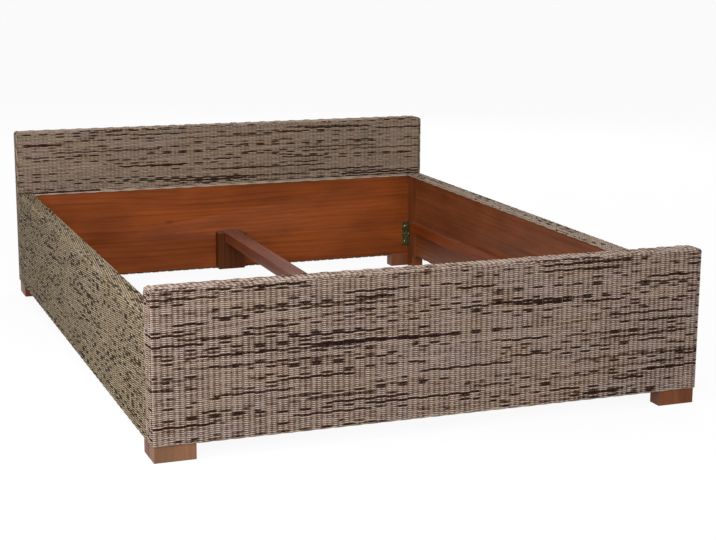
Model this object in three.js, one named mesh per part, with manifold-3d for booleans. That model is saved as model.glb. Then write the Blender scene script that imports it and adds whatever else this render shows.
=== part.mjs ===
// Rattan bed: a knock-down double bed whose head end, foot end and side rails are wooden frames
// covered with woven cane, joined at the corners by angle brackets, with a loose centre beam.
//
// Millimetres, +Z up. The origin is on the floor, midway along and across the bed.
// +Y points to the head of the bed and +X to the right of someone standing at its foot.

import * as THREE from 'three';
import { mergeVertices } from 'three/addons/utils/BufferGeometryUtils.js';
import Module from 'manifold-3d';

const wasm = await Module();
wasm.setup();

// The mattress that the bed is made for, and the room left round it
const mattressWidth = 1530;
const mattressLength = 2030;
const mattressPlay = 10;

// Heights above the floor, and how far the two ends rise above the rails
const railHeight = 389;
const headRise = 231;
const footRise = 81;
const weaveBottom = 45;
const supportHeight = 200;

// Materials and fits
const weaveThickness = 5;
const boardThickness = 18;
const fitGap = 0.3;
const halfGap = fitGap / 2;
const cutOverrun = 10;

// Head end and foot end
const endWoodThickness = 50;
const endCornerRadius = 12;
const postWidth = 117;
const barHeight = 40;
const centreStileWidth = 60;
const plankDrop = 11;

// Side rails
const railWoodThickness = 45;
const railStileWidth = 85;
const railFootLength = 58;
const railBoardLift = 7;
const railLipDepth = 10;
const railStrutWidth = 50;
const ledgerThickness = 25;
const ledgerHeight = 40;

// Centre beam, its leg and its two sockets
const beamWidth = 60;
const beamHeight = 40;
const beamSidePlay = 1;
const beamEndPlay = 2;
const legDepth = 45;
const cheekThickness = 22;
const cheekDrop = 5;
const socketDepth = 50;

// Corner brackets and their screws
const bracketBottom = 86;
const bracketHeight = 100;
const bracketPlankLeg = 25;
const bracketRailLeg = 22;
const bracketThickness = 2.5;
const bracketScrewInset = 18;
const screwLength = 16;
const screwShankRadius = 2;
const screwTipLength = 4;
const screwHeadRadius = 4.5;
const screwHeadHeight = 2.5;
const screwHoleClearance = 0.3;
const screwSides = 16;

// Smoothness of the rounded corners
const cornerSteps = 6;

// Worked-out sizes
const innerWidth = mattressWidth + 2 * mattressPlay;
const innerLength = mattressLength + 2 * mattressPlay;
const headHeight = railHeight + headRise;
const footHeight = railHeight + footRise;
const boardFaceX = innerWidth / 2;
const wovenFaceY = innerLength / 2;
const plankFaceY = wovenFaceY + weaveThickness;
const frameHalfWidth = boardFaceX + railWoodThickness;
const outerHalfWidth = frameHalfWidth + weaveThickness;
const frameBottom = weaveBottom + weaveThickness;
const plankTop = railHeight - plankDrop;
const railFrameTop = railHeight - weaveThickness;
const stileInnerY = plankFaceY - railStileWidth;
const bracketScrewSide = bracketPlankLeg / 2 + bracketThickness / 2;
const bracketScrewReach = bracketRailLeg / 2 + bracketThickness / 2;
const bracketScrewHeights = [
  bracketBottom + bracketScrewInset,
  bracketBottom + bracketHeight - bracketScrewInset,
];
const bracketMidHeight = bracketBottom + bracketHeight / 2;

// The feet stand on the floor itself, so their blocks aren't cut short there
const floorLevel = -halfGap;

// Colours
const colours = {
  plank: 0x86451f,
  board: 0x6e3c22,
  frameWood: 0x8a5a3e,
  foot: 0x8f5c3f,
  ledger: 0x7b4120,
  beam: 0x6f4336,
  weave: 0x8c7868,
  bracket: 0x6a6440,
  screw: 0xb4b39a,
};

function material(colour, roughness, metalness) {
  return new THREE.MeshStandardMaterial({ color: colour, roughness, metalness });
}

const wood = (colour) => material(colour, 0.6, 0);
const weave = () => material(colours.weave, 0.8, 0);
const metal = (colour) => material(colour, 0.4, 1);

// A box between two corners
function boxBetween(low, high) {
  const size = high.map((value, axis) => value - low[axis]);
  const geometry = new THREE.BoxGeometry(...size);
  const middle = high.map((value, axis) => (value + low[axis]) / 2);
  return geometry.translate(...middle);
}

// A piece fills its place but for half of the fit gap on every side
function piece(low, high) {
  return boxBetween(low.map((value) => value + halfGap), high.map((value) => value - halfGap));
}

// A recess leaves half of the fit gap round what sits in it
function recess(low, high) {
  return boxBetween(low.map((value) => value - halfGap), high.map((value) => value + halfGap));
}

// A prism along Y whose outline has two rounded top corners; grow widens it on every side
function roundedPanel(halfWidth, bottom, top, radius, nearY, farY, grow) {
  const side = halfWidth + grow;
  const crown = top + grow;
  const corner = radius + grow;
  const outline = new THREE.Shape();
  outline.moveTo(-side, bottom - grow);
  outline.lineTo(side, bottom - grow);
  outline.lineTo(side, crown - corner);
  outline.absarc(side - corner, crown - corner, corner, 0, Math.PI / 2, false);
  outline.lineTo(corner - side, crown);
  outline.absarc(corner - side, crown - corner, corner, Math.PI / 2, Math.PI, false);
  const depth = farY - nearY + 2 * grow;
  const geometry = new THREE.ExtrudeGeometry(outline, {
    depth,
    bevelEnabled: false,
    curveSegments: cornerSteps,
  });
  return geometry.rotateX(Math.PI / 2).translate(0, farY + grow, 0);
}

// A cylinder between two depths along one axis, for screw holes
function hole(centre, axis, depth) {
  const radius = screwShankRadius + screwHoleClearance;
  const geometry = new THREE.CylinderGeometry(radius, radius, depth, screwSides);
  if (axis === 'x') geometry.rotateZ(Math.PI / 2);
  return geometry.translate(...centre);
}

// Joining and cutting
function solidOf(geometry) {
  const bare = geometry.clone();
  bare.deleteAttribute('normal');
  bare.deleteAttribute('uv');
  const merged = mergeVertices(bare);
  return new wasm.Manifold(new wasm.Mesh({
    numProp: 3,
    vertProperties: new Float32Array(merged.attributes.position.array),
    triVerts: new Uint32Array(merged.index.array),
  }));
}

function cutBy(geometry, cutters) {
  let solid = solidOf(geometry);
  for (const cutter of cutters) {
    solid = solid.subtract(solidOf(cutter));
  }
  const result = solid.getMesh();
  const cut = new THREE.BufferGeometry();
  cut.setAttribute('position', new THREE.BufferAttribute(result.vertProperties, 3));
  cut.setIndex(new THREE.BufferAttribute(result.triVerts, 1));
  cut.computeVertexNormals();
  return cut;
}

// A named mesh whose geometry is centred on itself and which is moved to its place
function addMesh(parent, name, geometry, surface) {
  geometry.computeBoundingBox();
  const middle = geometry.boundingBox.getCenter(new THREE.Vector3());
  geometry.translate(-middle.x, -middle.y, -middle.z);
  const mesh = new THREE.Mesh(geometry, surface);
  mesh.name = name;
  mesh.position.copy(middle);
  parent.add(mesh);
}

const sides = [-1, 1];

// One end of the bed. Y runs outward from its inner woven face, which is at zero.
function bedEnd(name, height, leftSign) {
  const group = new THREE.Group();
  const woodNear = weaveThickness;
  const woodFar = woodNear + endWoodThickness;
  const plankFar = woodNear + boardThickness;
  const frameTop = height - weaveThickness;
  const postTop = frameTop - barHeight;
  const postInner = frameHalfWidth - postWidth;
  const plankLow = [-frameHalfWidth, woodNear, frameBottom];
  const plankHigh = [frameHalfWidth, plankFar, plankTop];

  // Corner posts, rebated for the plank, whose lower ends are the feet
  for (const side of sides) {
    const label = side === leftSign ? 'left' : 'right';
    const inner = Math.min(side * postInner, side * frameHalfWidth);
    const outer = Math.max(side * postInner, side * frameHalfWidth);
    const post = piece([inner, woodNear, floorLevel], [outer, woodFar, postTop]);
    const rebate = recess(
      [plankLow[0] - cutOverrun, woodNear - cutOverrun, frameBottom],
      [plankHigh[0] + cutOverrun, plankFar, plankTop],
    );
    addMesh(group, `${name}_${label}_post`, cutBy(post, [rebate]), wood(colours.foot));
  }

  // Bars and stile between the posts
  const topBar = roundedPanel(
    frameHalfWidth, postTop, frameTop, endCornerRadius - weaveThickness, woodNear, woodFar, -halfGap,
  );
  addMesh(group, `${name}_top_bar`, topBar, wood(colours.frameWood));
  const bars = {
    middle_bar: piece([-postInner, woodNear, plankTop], [postInner, woodFar, plankTop + barHeight]),
    bottom_bar: piece([-postInner, plankFar, frameBottom], [postInner, woodFar, frameBottom + barHeight]),
    centre_stile: piece(
      [-centreStileWidth / 2, plankFar, frameBottom + barHeight],
      [centreStileWidth / 2, woodFar, plankTop],
    ),
  };
  for (const [bar, geometry] of Object.entries(bars)) {
    addMesh(group, `${name}_${bar}`, geometry, wood(colours.frameWood));
  }

  // Inner plank, drilled for the bracket screws
  const drilled = [];
  for (const side of sides) {
    for (const level of bracketScrewHeights) {
      drilled.push(hole([side * (boardFaceX - bracketScrewSide), woodNear, level], 'y', 2 * screwLength));
    }
  }
  addMesh(group, `${name}_plank`, cutBy(piece(plankLow, plankHigh), drilled), wood(colours.plank));

  // Woven cover, open over the plank, where the rails butt and round the feet
  const outerFar = woodFar + weaveThickness;
  const cover = roundedPanel(
    outerHalfWidth, weaveBottom, height, endCornerRadius, 0, outerFar, -halfGap,
  );
  const cavity = roundedPanel(
    frameHalfWidth, frameBottom, frameTop, endCornerRadius - weaveThickness, woodNear, woodFar, halfGap,
  );
  const reach = outerHalfWidth + cutOverrun;
  const openings = [
    cavity,
    boxBetween([-reach, -cutOverrun, -cutOverrun], [reach, woodNear, plankTop]),
  ];
  for (const side of sides) {
    const railInner = boardFaceX - weaveThickness;
    const near = Math.min(side * railInner, side * reach);
    const far = Math.max(side * railInner, side * reach);
    openings.push(recess([near, -cutOverrun, -cutOverrun], [far, woodNear, railHeight]));
    const footNear = Math.min(side * postInner, side * frameHalfWidth);
    const footFar = Math.max(side * postInner, side * frameHalfWidth);
    openings.push(recess([footNear, woodNear, -cutOverrun], [footFar, woodFar, frameBottom]));
  }
  addMesh(group, `${name}_woven_cover`, cutBy(cover, openings), weave());
  return group;
}

// One side rail. X runs outward from the inner face of its board, which is at zero.
function sideRail(name, frontSign) {
  const group = new THREE.Group();
  const woodFar = railWoodThickness;
  const boardTop = railFrameTop;

  // Stiles at both ends, whose lower ends are feet, drilled for the bracket screws
  for (const end of sides) {
    const label = end === frontSign ? 'front' : 'rear';
    const near = Math.min(end * stileInnerY, end * plankFaceY);
    const far = Math.max(end * stileInnerY, end * plankFaceY);
    const footInner = plankFaceY - railFootLength;
    const stile = piece([0, near, floorLevel], [woodFar, far, railFrameTop]);
    const clearFrom = Math.min(end * (stileInnerY - cutOverrun), end * footInner);
    const clearTo = Math.max(end * (stileInnerY - cutOverrun), end * footInner);
    const undercut = recess(
      [-cutOverrun, clearFrom, -cutOverrun],
      [woodFar + cutOverrun, clearTo, frameBottom],
    );
    const drilled = hole([0, end * (plankFaceY - bracketScrewReach), bracketMidHeight], 'x', 2 * screwLength);
    addMesh(group, `${name}_${label}_stile`, cutBy(stile, [undercut, drilled]), wood(colours.foot));
  }

  // Board, battens, strut and the ledger that carries the mattress base
  const boardLow = [0, -stileInnerY, frameBottom + railBoardLift];
  const boardHigh = [boardThickness, stileInnerY, boardTop];
  addMesh(group, `${name}_board`, piece(boardLow, boardHigh), wood(colours.board));
  const battens = {
    top_batten: piece(
      [boardThickness, -stileInnerY, railFrameTop - barHeight],
      [woodFar, stileInnerY, railFrameTop],
    ),
    bottom_batten: piece(
      [boardThickness, -stileInnerY, frameBottom],
      [woodFar, stileInnerY, frameBottom + barHeight],
    ),
    strut: piece(
      [boardThickness, -railStrutWidth / 2, frameBottom + barHeight],
      [woodFar, railStrutWidth / 2, railFrameTop - barHeight],
    ),
  };
  for (const [batten, geometry] of Object.entries(battens)) {
    addMesh(group, `${name}_${batten}`, geometry, wood(colours.frameWood));
  }
  const ledger = piece(
    [-ledgerThickness, -stileInnerY, supportHeight - ledgerHeight],
    [0, stileInnerY, supportHeight],
  );
  addMesh(group, `${name}_ledger`, ledger, wood(colours.ledger));

  // Woven cover: outside, top with a short lip inside, and underside
  const outline = new THREE.Shape();
  outline.moveTo(-weaveThickness, railHeight - railLipDepth);
  outline.lineTo(-weaveThickness, railHeight - halfGap);
  outline.lineTo(woodFar + weaveThickness, railHeight - halfGap);
  outline.lineTo(woodFar + weaveThickness, weaveBottom);
  outline.lineTo(boardThickness, weaveBottom);
  outline.lineTo(boardThickness, frameBottom - halfGap);
  outline.lineTo(woodFar + halfGap, frameBottom - halfGap);
  outline.lineTo(woodFar + halfGap, railFrameTop + halfGap);
  outline.lineTo(-halfGap, railFrameTop + halfGap);
  outline.lineTo(-halfGap, railHeight - railLipDepth);
  const length = 2 * (plankFaceY - halfGap);
  const skin = new THREE.ExtrudeGeometry(outline, { depth: length, bevelEnabled: false });
  skin.rotateX(Math.PI / 2).translate(0, plankFaceY - halfGap, 0);
  const footHoles = sides.map((end) => {
    const near = Math.min(end * (plankFaceY - railFootLength), end * (plankFaceY + cutOverrun));
    const far = Math.max(end * (plankFaceY - railFootLength), end * (plankFaceY + cutOverrun));
    return recess([-cutOverrun, near, -cutOverrun], [woodFar, far, frameBottom]);
  });
  addMesh(group, `${name}_woven_cover`, cutBy(skin, footHoles), weave());
  return group;
}

// The open-topped wooden socket on each plank that holds one end of the centre beam
function beamSocket(name, endSign) {
  const group = new THREE.Group();
  const near = Math.min(endSign * (plankFaceY - socketDepth), endSign * plankFaceY);
  const far = Math.max(endSign * (plankFaceY - socketDepth), endSign * plankFaceY);
  const slotHalf = beamWidth / 2 + beamSidePlay;
  const beamBottom = supportHeight - beamHeight;
  for (const side of sides) {
    const label = side < 0 ? 'left' : 'right';
    const inner = Math.min(side * slotHalf, side * (slotHalf + cheekThickness));
    const outer = Math.max(side * slotHalf, side * (slotHalf + cheekThickness));
    const cheek = piece([inner, near, frameBottom], [outer, far, supportHeight - cheekDrop]);
    addMesh(group, `${name}_${label}_cheek`, cheek, wood(colours.frameWood));
  }
  const block = piece([-slotHalf, near, frameBottom], [slotHalf, far, beamBottom]);
  addMesh(group, `${name}_seat_block`, block, wood(colours.frameWood));
  return group;
}

// The loose centre beam and the leg under its middle
function centreBeam() {
  const group = new THREE.Group();
  const reach = plankFaceY - beamEndPlay;
  const beamBottom = supportHeight - beamHeight;
  const beam = piece([-beamWidth / 2, -reach, beamBottom], [beamWidth / 2, reach, supportHeight]);
  addMesh(group, 'centre_beam', beam, wood(colours.beam));
  const leg = piece([-beamWidth / 2, -legDepth / 2, floorLevel], [beamWidth / 2, legDepth / 2, beamBottom]);
  addMesh(group, 'centre_leg', leg, wood(colours.beam));
  return group;
}

// A screw along Y, head first, whose head's underside is at zero
function screwGeometry() {
  const profile = [new THREE.Vector2(0, -screwLength)];
  profile.push(new THREE.Vector2(screwShankRadius, screwTipLength - screwLength));
  profile.push(new THREE.Vector2(screwShankRadius, 0));
  profile.push(new THREE.Vector2(screwHeadRadius, 0));
  const domeSteps = 3;
  for (let step = 1; step <= domeSteps; step += 1) {
    const angle = (Math.PI / 2) * (step / domeSteps);
    profile.push(new THREE.Vector2(screwHeadRadius * Math.cos(angle), screwHeadHeight * Math.sin(angle)));
  }
  profile[profile.length - 1].x = 0;
  return new THREE.LatheGeometry(profile, screwSides);
}

// One corner's angle bracket and its three screws
function cornerBracket(name, sideSign, endSign) {
  const group = new THREE.Group();
  const cornerX = boardFaceX - halfGap;
  const cornerY = plankFaceY - halfGap;
  const at = (inX, inY) => [sideSign * (cornerX - inX), endSign * (cornerY - inY)];
  const outline = new THREE.Shape();
  outline.moveTo(...at(0, 0));
  outline.lineTo(...at(bracketPlankLeg, 0));
  outline.lineTo(...at(bracketPlankLeg, bracketThickness));
  outline.lineTo(...at(bracketThickness, bracketThickness));
  outline.lineTo(...at(bracketThickness, bracketRailLeg));
  outline.lineTo(...at(0, bracketRailLeg));
  const angle = new THREE.ExtrudeGeometry(outline, { depth: bracketHeight, bevelEnabled: false });
  angle.translate(0, 0, bracketBottom);
  const plankScrewX = sideSign * (boardFaceX - bracketScrewSide);
  const railScrewY = endSign * (plankFaceY - bracketScrewReach);
  const holes = bracketScrewHeights.map(
    (level) => hole([plankScrewX, endSign * plankFaceY, level], 'y', 2 * screwLength),
  );
  holes.push(hole([sideSign * boardFaceX, railScrewY, bracketMidHeight], 'x', 2 * screwLength));
  addMesh(group, `${name}_bracket`, cutBy(angle, holes), metal(colours.bracket));

  // Screw heads lie on the bracket, a fit gap off its face
  const seat = bracketThickness + halfGap + fitGap;
  bracketScrewHeights.forEach((level, index) => {
    const geometry = screwGeometry().rotateX(endSign > 0 ? Math.PI : 0);
    geometry.translate(plankScrewX, endSign * (plankFaceY - seat), level);
    addMesh(group, `${name}_plank_screw_${index + 1}`, geometry, metal(colours.screw));
  });
  const railScrew = screwGeometry().rotateZ(sideSign * Math.PI / 2);
  railScrew.translate(sideSign * (boardFaceX - seat), railScrewY, bracketMidHeight);
  addMesh(group, `${name}_rail_screw`, railScrew, metal(colours.screw));
  return group;
}

// The bed
const bed = new THREE.Group();

const headEnd = bedEnd('head', headHeight, -1);
headEnd.position.y = wovenFaceY;
bed.add(headEnd);

const footEnd = bedEnd('foot', footHeight, 1);
footEnd.position.y = -wovenFaceY;
footEnd.rotation.z = Math.PI;
bed.add(footEnd);

const rightRail = sideRail('right_rail', -1);
rightRail.position.x = boardFaceX;
bed.add(rightRail);

const leftRail = sideRail('left_rail', 1);
leftRail.position.x = -boardFaceX;
leftRail.rotation.z = Math.PI;
bed.add(leftRail);

bed.add(beamSocket('head_socket', 1));
bed.add(beamSocket('foot_socket', -1));
bed.add(centreBeam());

for (const endSign of sides) {
  for (const sideSign of sides) {
    const endName = endSign > 0 ? 'rear' : 'front';
    const sideName = sideSign > 0 ? 'right' : 'left';
    bed.add(cornerBracket(`${endName}_${sideName}`, sideSign, endSign));
  }
}

export default bed;
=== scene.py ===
"""Rattan bed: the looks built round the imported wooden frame.

The woven cane is made strand by strand with Geometry Nodes, the boards get eased edges and
oiled-wood finishes, and the corner brackets get their screws.
"""

import logging
import math
from abc import ABC, abstractmethod
from collections.abc import Callable, Sequence
from dataclasses import dataclass
from enum import Enum
from typing import Any

import bmesh
import bpy
import numpy as np
from mathutils import Matrix, Vector


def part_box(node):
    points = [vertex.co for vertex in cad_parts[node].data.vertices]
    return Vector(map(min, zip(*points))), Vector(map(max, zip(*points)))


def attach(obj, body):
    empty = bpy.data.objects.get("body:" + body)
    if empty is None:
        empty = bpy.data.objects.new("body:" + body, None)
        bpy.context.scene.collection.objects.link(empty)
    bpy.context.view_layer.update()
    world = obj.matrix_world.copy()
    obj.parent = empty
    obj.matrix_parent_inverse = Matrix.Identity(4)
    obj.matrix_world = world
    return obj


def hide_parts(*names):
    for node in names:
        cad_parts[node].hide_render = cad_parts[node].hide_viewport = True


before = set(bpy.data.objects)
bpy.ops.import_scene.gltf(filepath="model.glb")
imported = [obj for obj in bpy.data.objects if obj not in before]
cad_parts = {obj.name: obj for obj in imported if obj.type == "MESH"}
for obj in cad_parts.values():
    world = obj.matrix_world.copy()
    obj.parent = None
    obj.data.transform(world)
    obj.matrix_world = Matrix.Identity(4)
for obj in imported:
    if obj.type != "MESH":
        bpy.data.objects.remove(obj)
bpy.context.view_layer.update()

LOG = logging.getLogger("rattan_bed")
FRAME_BODY = "frame"
BEAM_BODY = "beam"
CANE_SLOT = "woven_cane"
MM = 0.001
TURN = 2 * math.pi
RIGHT, REAR, UP = Vector((1, 0, 0)), Vector((0, 1, 0)), Vector((0, 0, 1))
WHITE = (1.0, 1.0, 1.0, 1.0)

Rgb = tuple[int, int, int]
Rgba = tuple[float, float, float, float]
Span = tuple[float, float]
Feeds = dict[str | int, Any]


def srgb(levels: Rgb) -> Rgba:
    """Turns a colour written in 8-bit sRGB into opaque linear light.

    Args:
        levels: Its red, green and blue, from 0 to 255.

    Returns:
        The colour as node sockets want it.
    """
    shares = [level / 255 for level in levels]
    linear = [share / 12.92 if share <= 0.04045 else ((share + 0.055) / 1.055) ** 2.4 for share in shares]
    return (*linear, 1.0)


class Grain(Enum):
    """The axis that a board's grain runs along, then the two across it."""

    ALONG_X = ("X", "Y", "Z")
    ALONG_Y = ("Y", "X", "Z")
    ALONG_Z = ("Z", "X", "Y")


class Value:
    """A node's output that sums can be written with, as a number or as a vector."""

    def __init__(self, writer: "TreeWriter", socket: bpy.types.NodeSocket) -> None:
        """Keeps the output and the writer of its tree.

        Args:
            writer: The writer.
            socket: The output.
        """
        self.writer = writer
        self.socket = socket
        self.is_vector = socket.type == "VECTOR"

    def __add__(self, other: Any) -> "Value":
        """The sum."""
        return self.writer.math("ADD", self, other)

    def __sub__(self, other: Any) -> "Value":
        """The difference."""
        return self.writer.math("SUBTRACT", self, other)

    def __rsub__(self, other: float) -> "Value":
        """What is left of a plain number."""
        return self.writer.math("SUBTRACT", other, self)

    def __mul__(self, other: Any) -> "Value":
        """The product, in which a vector is scaled by a number or multiplied axis by axis.

        Args:
            other: A number, an output or, for a vector, three numbers.

        Returns:
            The product.
        """
        if self.is_vector and not isinstance(other, tuple):
            return self.writer.node("ShaderNodeVectorMath", {0: self, "Scale": other}, operation="SCALE")
        return self.writer.math("MULTIPLY", self, other)

    def __truediv__(self, other: Any) -> "Value":
        """The quotient."""
        return self.writer.math("DIVIDE", self, other)


class TreeWriter:
    """Adds nodes to one node tree and joins their sockets."""

    def __init__(self, tree: bpy.types.NodeTree) -> None:
        """Keeps the geometry or shader node tree to write into."""
        self.tree = tree

    def feed(self, socket: bpy.types.NodeSocket, value: Any) -> None:
        """Links a node's output to a socket or sets the socket's own value.

        Args:
            socket: The input to feed.
            value: An output, or a plain value.
        """
        if isinstance(value, Value):
            self.tree.links.new(value.socket, socket)
        else:
            socket.default_value = value

    def add(self, kind: str, feeds: Feeds, **settings: Any) -> bpy.types.Node:
        """Adds one node.

        Args:
            kind: Blender's name of the node type.
            feeds: Outputs or values for its inputs, by name or number.
            settings: The node's own properties.

        Returns:
            The new node.
        """
        made = self.tree.nodes.new(kind)
        for name, value in settings.items():
            setattr(made, name, value)
        for key, value in feeds.items():
            self.feed(made.inputs[key], value)
        return made

    def node(self, kind: str, feeds: Feeds | None = None, output: int | str = 0, **settings: Any) -> Value:
        """Adds one node as add does, and returns one of its outputs."""
        return Value(self, self.add(kind, feeds or {}, **settings).outputs[output])

    def outputs(self, kind: str, feeds: Feeds | None = None, **settings: Any) -> dict[str, Value]:
        """Adds one node as add does, and returns its outputs by name."""
        return {out.name: Value(self, out) for out in self.add(kind, feeds or {}, **settings).outputs}

    def math(self, operation: str, *values: Any) -> Value:
        """Adds a Math node, or a Vector Math node if the first value is a vector.

        Args:
            operation: The sum it does.
            values: Its inputs in order.

        Returns:
            Its result.
        """
        vectors = isinstance(values[0], Value) and values[0].is_vector
        kind = "ShaderNodeVectorMath" if vectors else "ShaderNodeMath"
        return self.node(kind, dict(enumerate(values)), operation=operation)

    def combine(self, x: Any, y: Any, z: Any) -> Value:
        """A vector from three numbers."""
        return self.node("ShaderNodeCombineXYZ", {0: x, 1: y, 2: z})

    def separate(self, vector: Value) -> dict[str, Value]:
        """The three numbers of a vector by axis."""
        return self.outputs("ShaderNodeSeparateXYZ", {0: vector})

    def noise(self, vector: Value, detail: float, **feeds: float) -> Value:
        """Noise from 0 to 1 at a position that is scaled already, with so many octaves."""
        return self.node("ShaderNodeTexNoise", {"Vector": vector, "Scale": 1.0, "Detail": detail, **feeds})


class ShaderWriter(TreeWriter):
    """Writes the node tree of one material."""

    def __init__(self, name: str, shine: float = 0.25) -> None:
        """Starts a material.

        Args:
            name: What the material is called.
            shine: Its specular level.
        """
        self.material = bpy.data.materials.new(name)
        self.material.use_nodes = True
        super().__init__(self.material.node_tree)
        self.shader = self.tree.nodes["Principled BSDF"]
        self.shader.inputs["Specular IOR Level"].default_value = shine

    def attribute(self, name: str, output: str = "Fac") -> Value:
        """A value that the mesh carries."""
        return self.node("ShaderNodeAttribute", {}, output, attribute_name=name)

    def place(self) -> Value:
        """Where a point is, in metres."""
        return self.node("ShaderNodeTexCoord", {}, "Object")

    def mix(self, share: Any, first: Value | Rgba, second: Value | Rgba, blend: str = "MIX") -> Value:
        """Blends two colours by the share of the second one."""
        feeds = {0: share, 6: first, 7: second}
        return self.node("ShaderNodeMix", feeds, 2, data_type="RGBA", blend_type=blend)

    def dim(self, colour: Value, shade: Value) -> Value:
        """A colour times a number."""
        return self.mix(1.0, colour, self.combine(shade, shade, shade), "MULTIPLY")

    def spread(self, value: Value, low: float, high: float, to_low: float = 0.0,
               to_high: float = 1.0) -> Value:
        """Maps the range from low to high smoothly onto the one from to_low to to_high."""
        feeds = {0: value, 1: low, 2: high, 3: to_low, 4: to_high}
        return self.node("ShaderNodeMapRange", feeds, interpolation_type="SMOOTHSTEP")

    def ramp(self, value: Value, places: Sequence[float], colours: Sequence[Rgba]) -> Value:
        """A colour ramp.

        Args:
            value: What picks the colour.
            places: Where each colour lies, in order.
            colours: The colours.

        Returns:
            The picked colour.
        """
        made = self.add("ShaderNodeValToRGB", {0: value})
        elements = made.color_ramp.elements
        while len(elements) < len(places):
            elements.new(1.0)
        for element, place, colour in zip(elements, places, colours):
            element.position = place
            element.color = colour
        return Value(self, made.outputs[0])

    def finish(self, colour: Value, roughness: Value, height: Value, depth: float) -> bpy.types.Material:
        """Joins the last outputs to the shader.

        Args:
            colour: The base colour.
            roughness: The roughness.
            height: The height that the bump reads.
            depth: How deep a full step of the height is, in metres.

        Returns:
            The finished material.
        """
        bump = self.node("ShaderNodeBump", {"Height": height, "Distance": depth, "Strength": 1.0})
        for socket, value in (("Base Color", colour), ("Roughness", roughness), ("Normal", bump)):
            self.feed(self.shader.inputs[socket], value)
        return self.material


@dataclass(frozen=True)
class WoodFinish:
    """Oiled wood whose grain follows one axis of the bed.

    Pale is the colour of early wood, deep of late wood, dark of pores, knots and streaks, and worn
    of rubbed edges. The scales are cycles in a metre along the grain and across it.
    """

    name: str
    grain: Grain
    pale: Rgb
    deep: Rgb
    dark: Rgb
    worn: Rgb
    figure: float = 1.0
    roughness: float = 0.42

    SHINE = 0.12
    SWAY_SCALE = (0.9, 5.0, 5.0)
    FIGURE_SCALE = (1.3, 75.0, 75.0)
    STREAK_SCALE = (0.7, 48.0, 48.0)
    FIBRE_SCALE = (5.0, 240.0, 240.0)
    PORE_SCALE = (22.0, 900.0, 900.0)
    CLOUD_SCALE = (4.0, 13.0, 13.0)
    KNOT_SCALE = (3.1, 5.3, 5.3)
    BOARD_SHIFTS = (17.0, 6.29, 10.37)
    RINGS = 46.0
    RING_TILT = 0.8
    RING_SWAY = 7.0
    RING_SHARE = 0.14
    STREAK_DEPTH = 0.5
    PORE_DEPTH = 0.22
    KNOT_DEPTH = 0.4
    FIBRE_DEPTH = 0.16
    CLOUD_SHADES = (0.8, 1.2)
    WEAR = (0.15, 0.6)
    # Pale dusty colour on upward faces, partly painted top light and sheen.
    DUST_AND_TOP_LIGHT_SHARES = (0.07, 0.13)
    DUST_AND_TOP_LIGHT = (176, 160, 150)
    BUMP = 0.25 * MM

    def material(self) -> bpy.types.Material:
        """Builds the material: growth rings, fibres, pores, knots, clouds, worn edges, and a pale dusty
        colour on upward faces that also paints top light and a grazing sheen onto them.

        Returns:
            The finished material.
        """
        w = ShaderWriter(self.name, self.SHINE)
        axes, board = w.separate(w.place()), w.attribute("board")
        along, across, over = (axes[axis] + board * shift
                               for axis, shift in zip(self.grain.value, self.BOARD_SHIFTS))
        place = w.combine(along, across, over)
        sway = w.noise(place * self.SWAY_SCALE, 2.0) * self.RING_SWAY
        rings = (over + across * self.RING_TILT) * self.RINGS + sway
        ring = w.spread(w.math("SINE", rings * TURN), 0.3, 1.0)
        figure = w.noise(place * self.FIGURE_SCALE, 4.0, Distortion=0.4)
        fibre = w.noise(place * self.FIBRE_SCALE, 3.0)
        pore = w.spread(w.noise(place * self.PORE_SCALE, 1.0), 0.60, 0.72)
        cloud = w.noise(place * self.CLOUD_SCALE, 3.0)
        knots = w.node("ShaderNodeTexVoronoi", {"Vector": place * self.KNOT_SCALE, "Scale": 1.0}, "Distance")
        knot = w.spread(knots, 0.035, 0.075, 1.0, 0.0)
        streaks = w.noise(place * self.STREAK_SCALE, 3.0)
        streak = w.spread(streaks, 0.54, 0.76, 0.0, self.STREAK_DEPTH * self.figure)

        mixed = ring * (self.RING_SHARE * self.figure) + figure * (1 - self.RING_SHARE)
        colour = w.mix(w.spread(mixed, 0.28, 0.74), srgb(self.pale), srgb(self.deep))
        for share in (streak, pore * self.PORE_DEPTH, knot * self.KNOT_DEPTH):
            colour = w.mix(share, colour, srgb(self.dark))
        fibres = fibre * self.FIBRE_DEPTH - self.FIBRE_DEPTH / 2
        colour = w.dim(colour, w.spread(cloud, 0.3, 0.7, *self.CLOUD_SHADES) + fibres)
        wear = w.attribute("wear") * w.spread(cloud, 0.35, 0.6, *self.WEAR)
        colour = w.mix(wear, colour, srgb(self.worn))
        # Upward faces get a pale, greyish dusty colour, partly painted top light and sheen: the tops turn
        # lighter and greyer as light from above would make them.
        dust_and_painted_light = w.attribute("dust_and_painted_light") * w.spread(cloud, 0.25, 0.75, *self.DUST_AND_TOP_LIGHT_SHARES)
        colour = w.mix(dust_and_painted_light, colour, srgb(self.DUST_AND_TOP_LIGHT))

        rough = w.spread(figure, 0.2, 0.8, self.roughness - 0.06, self.roughness + 0.08) + pore * 0.12
        height = fibre * 0.5 + (figure * 0.5 - pore * 0.5)
        return w.finish(colour, rough, height, self.BUMP)


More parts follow.
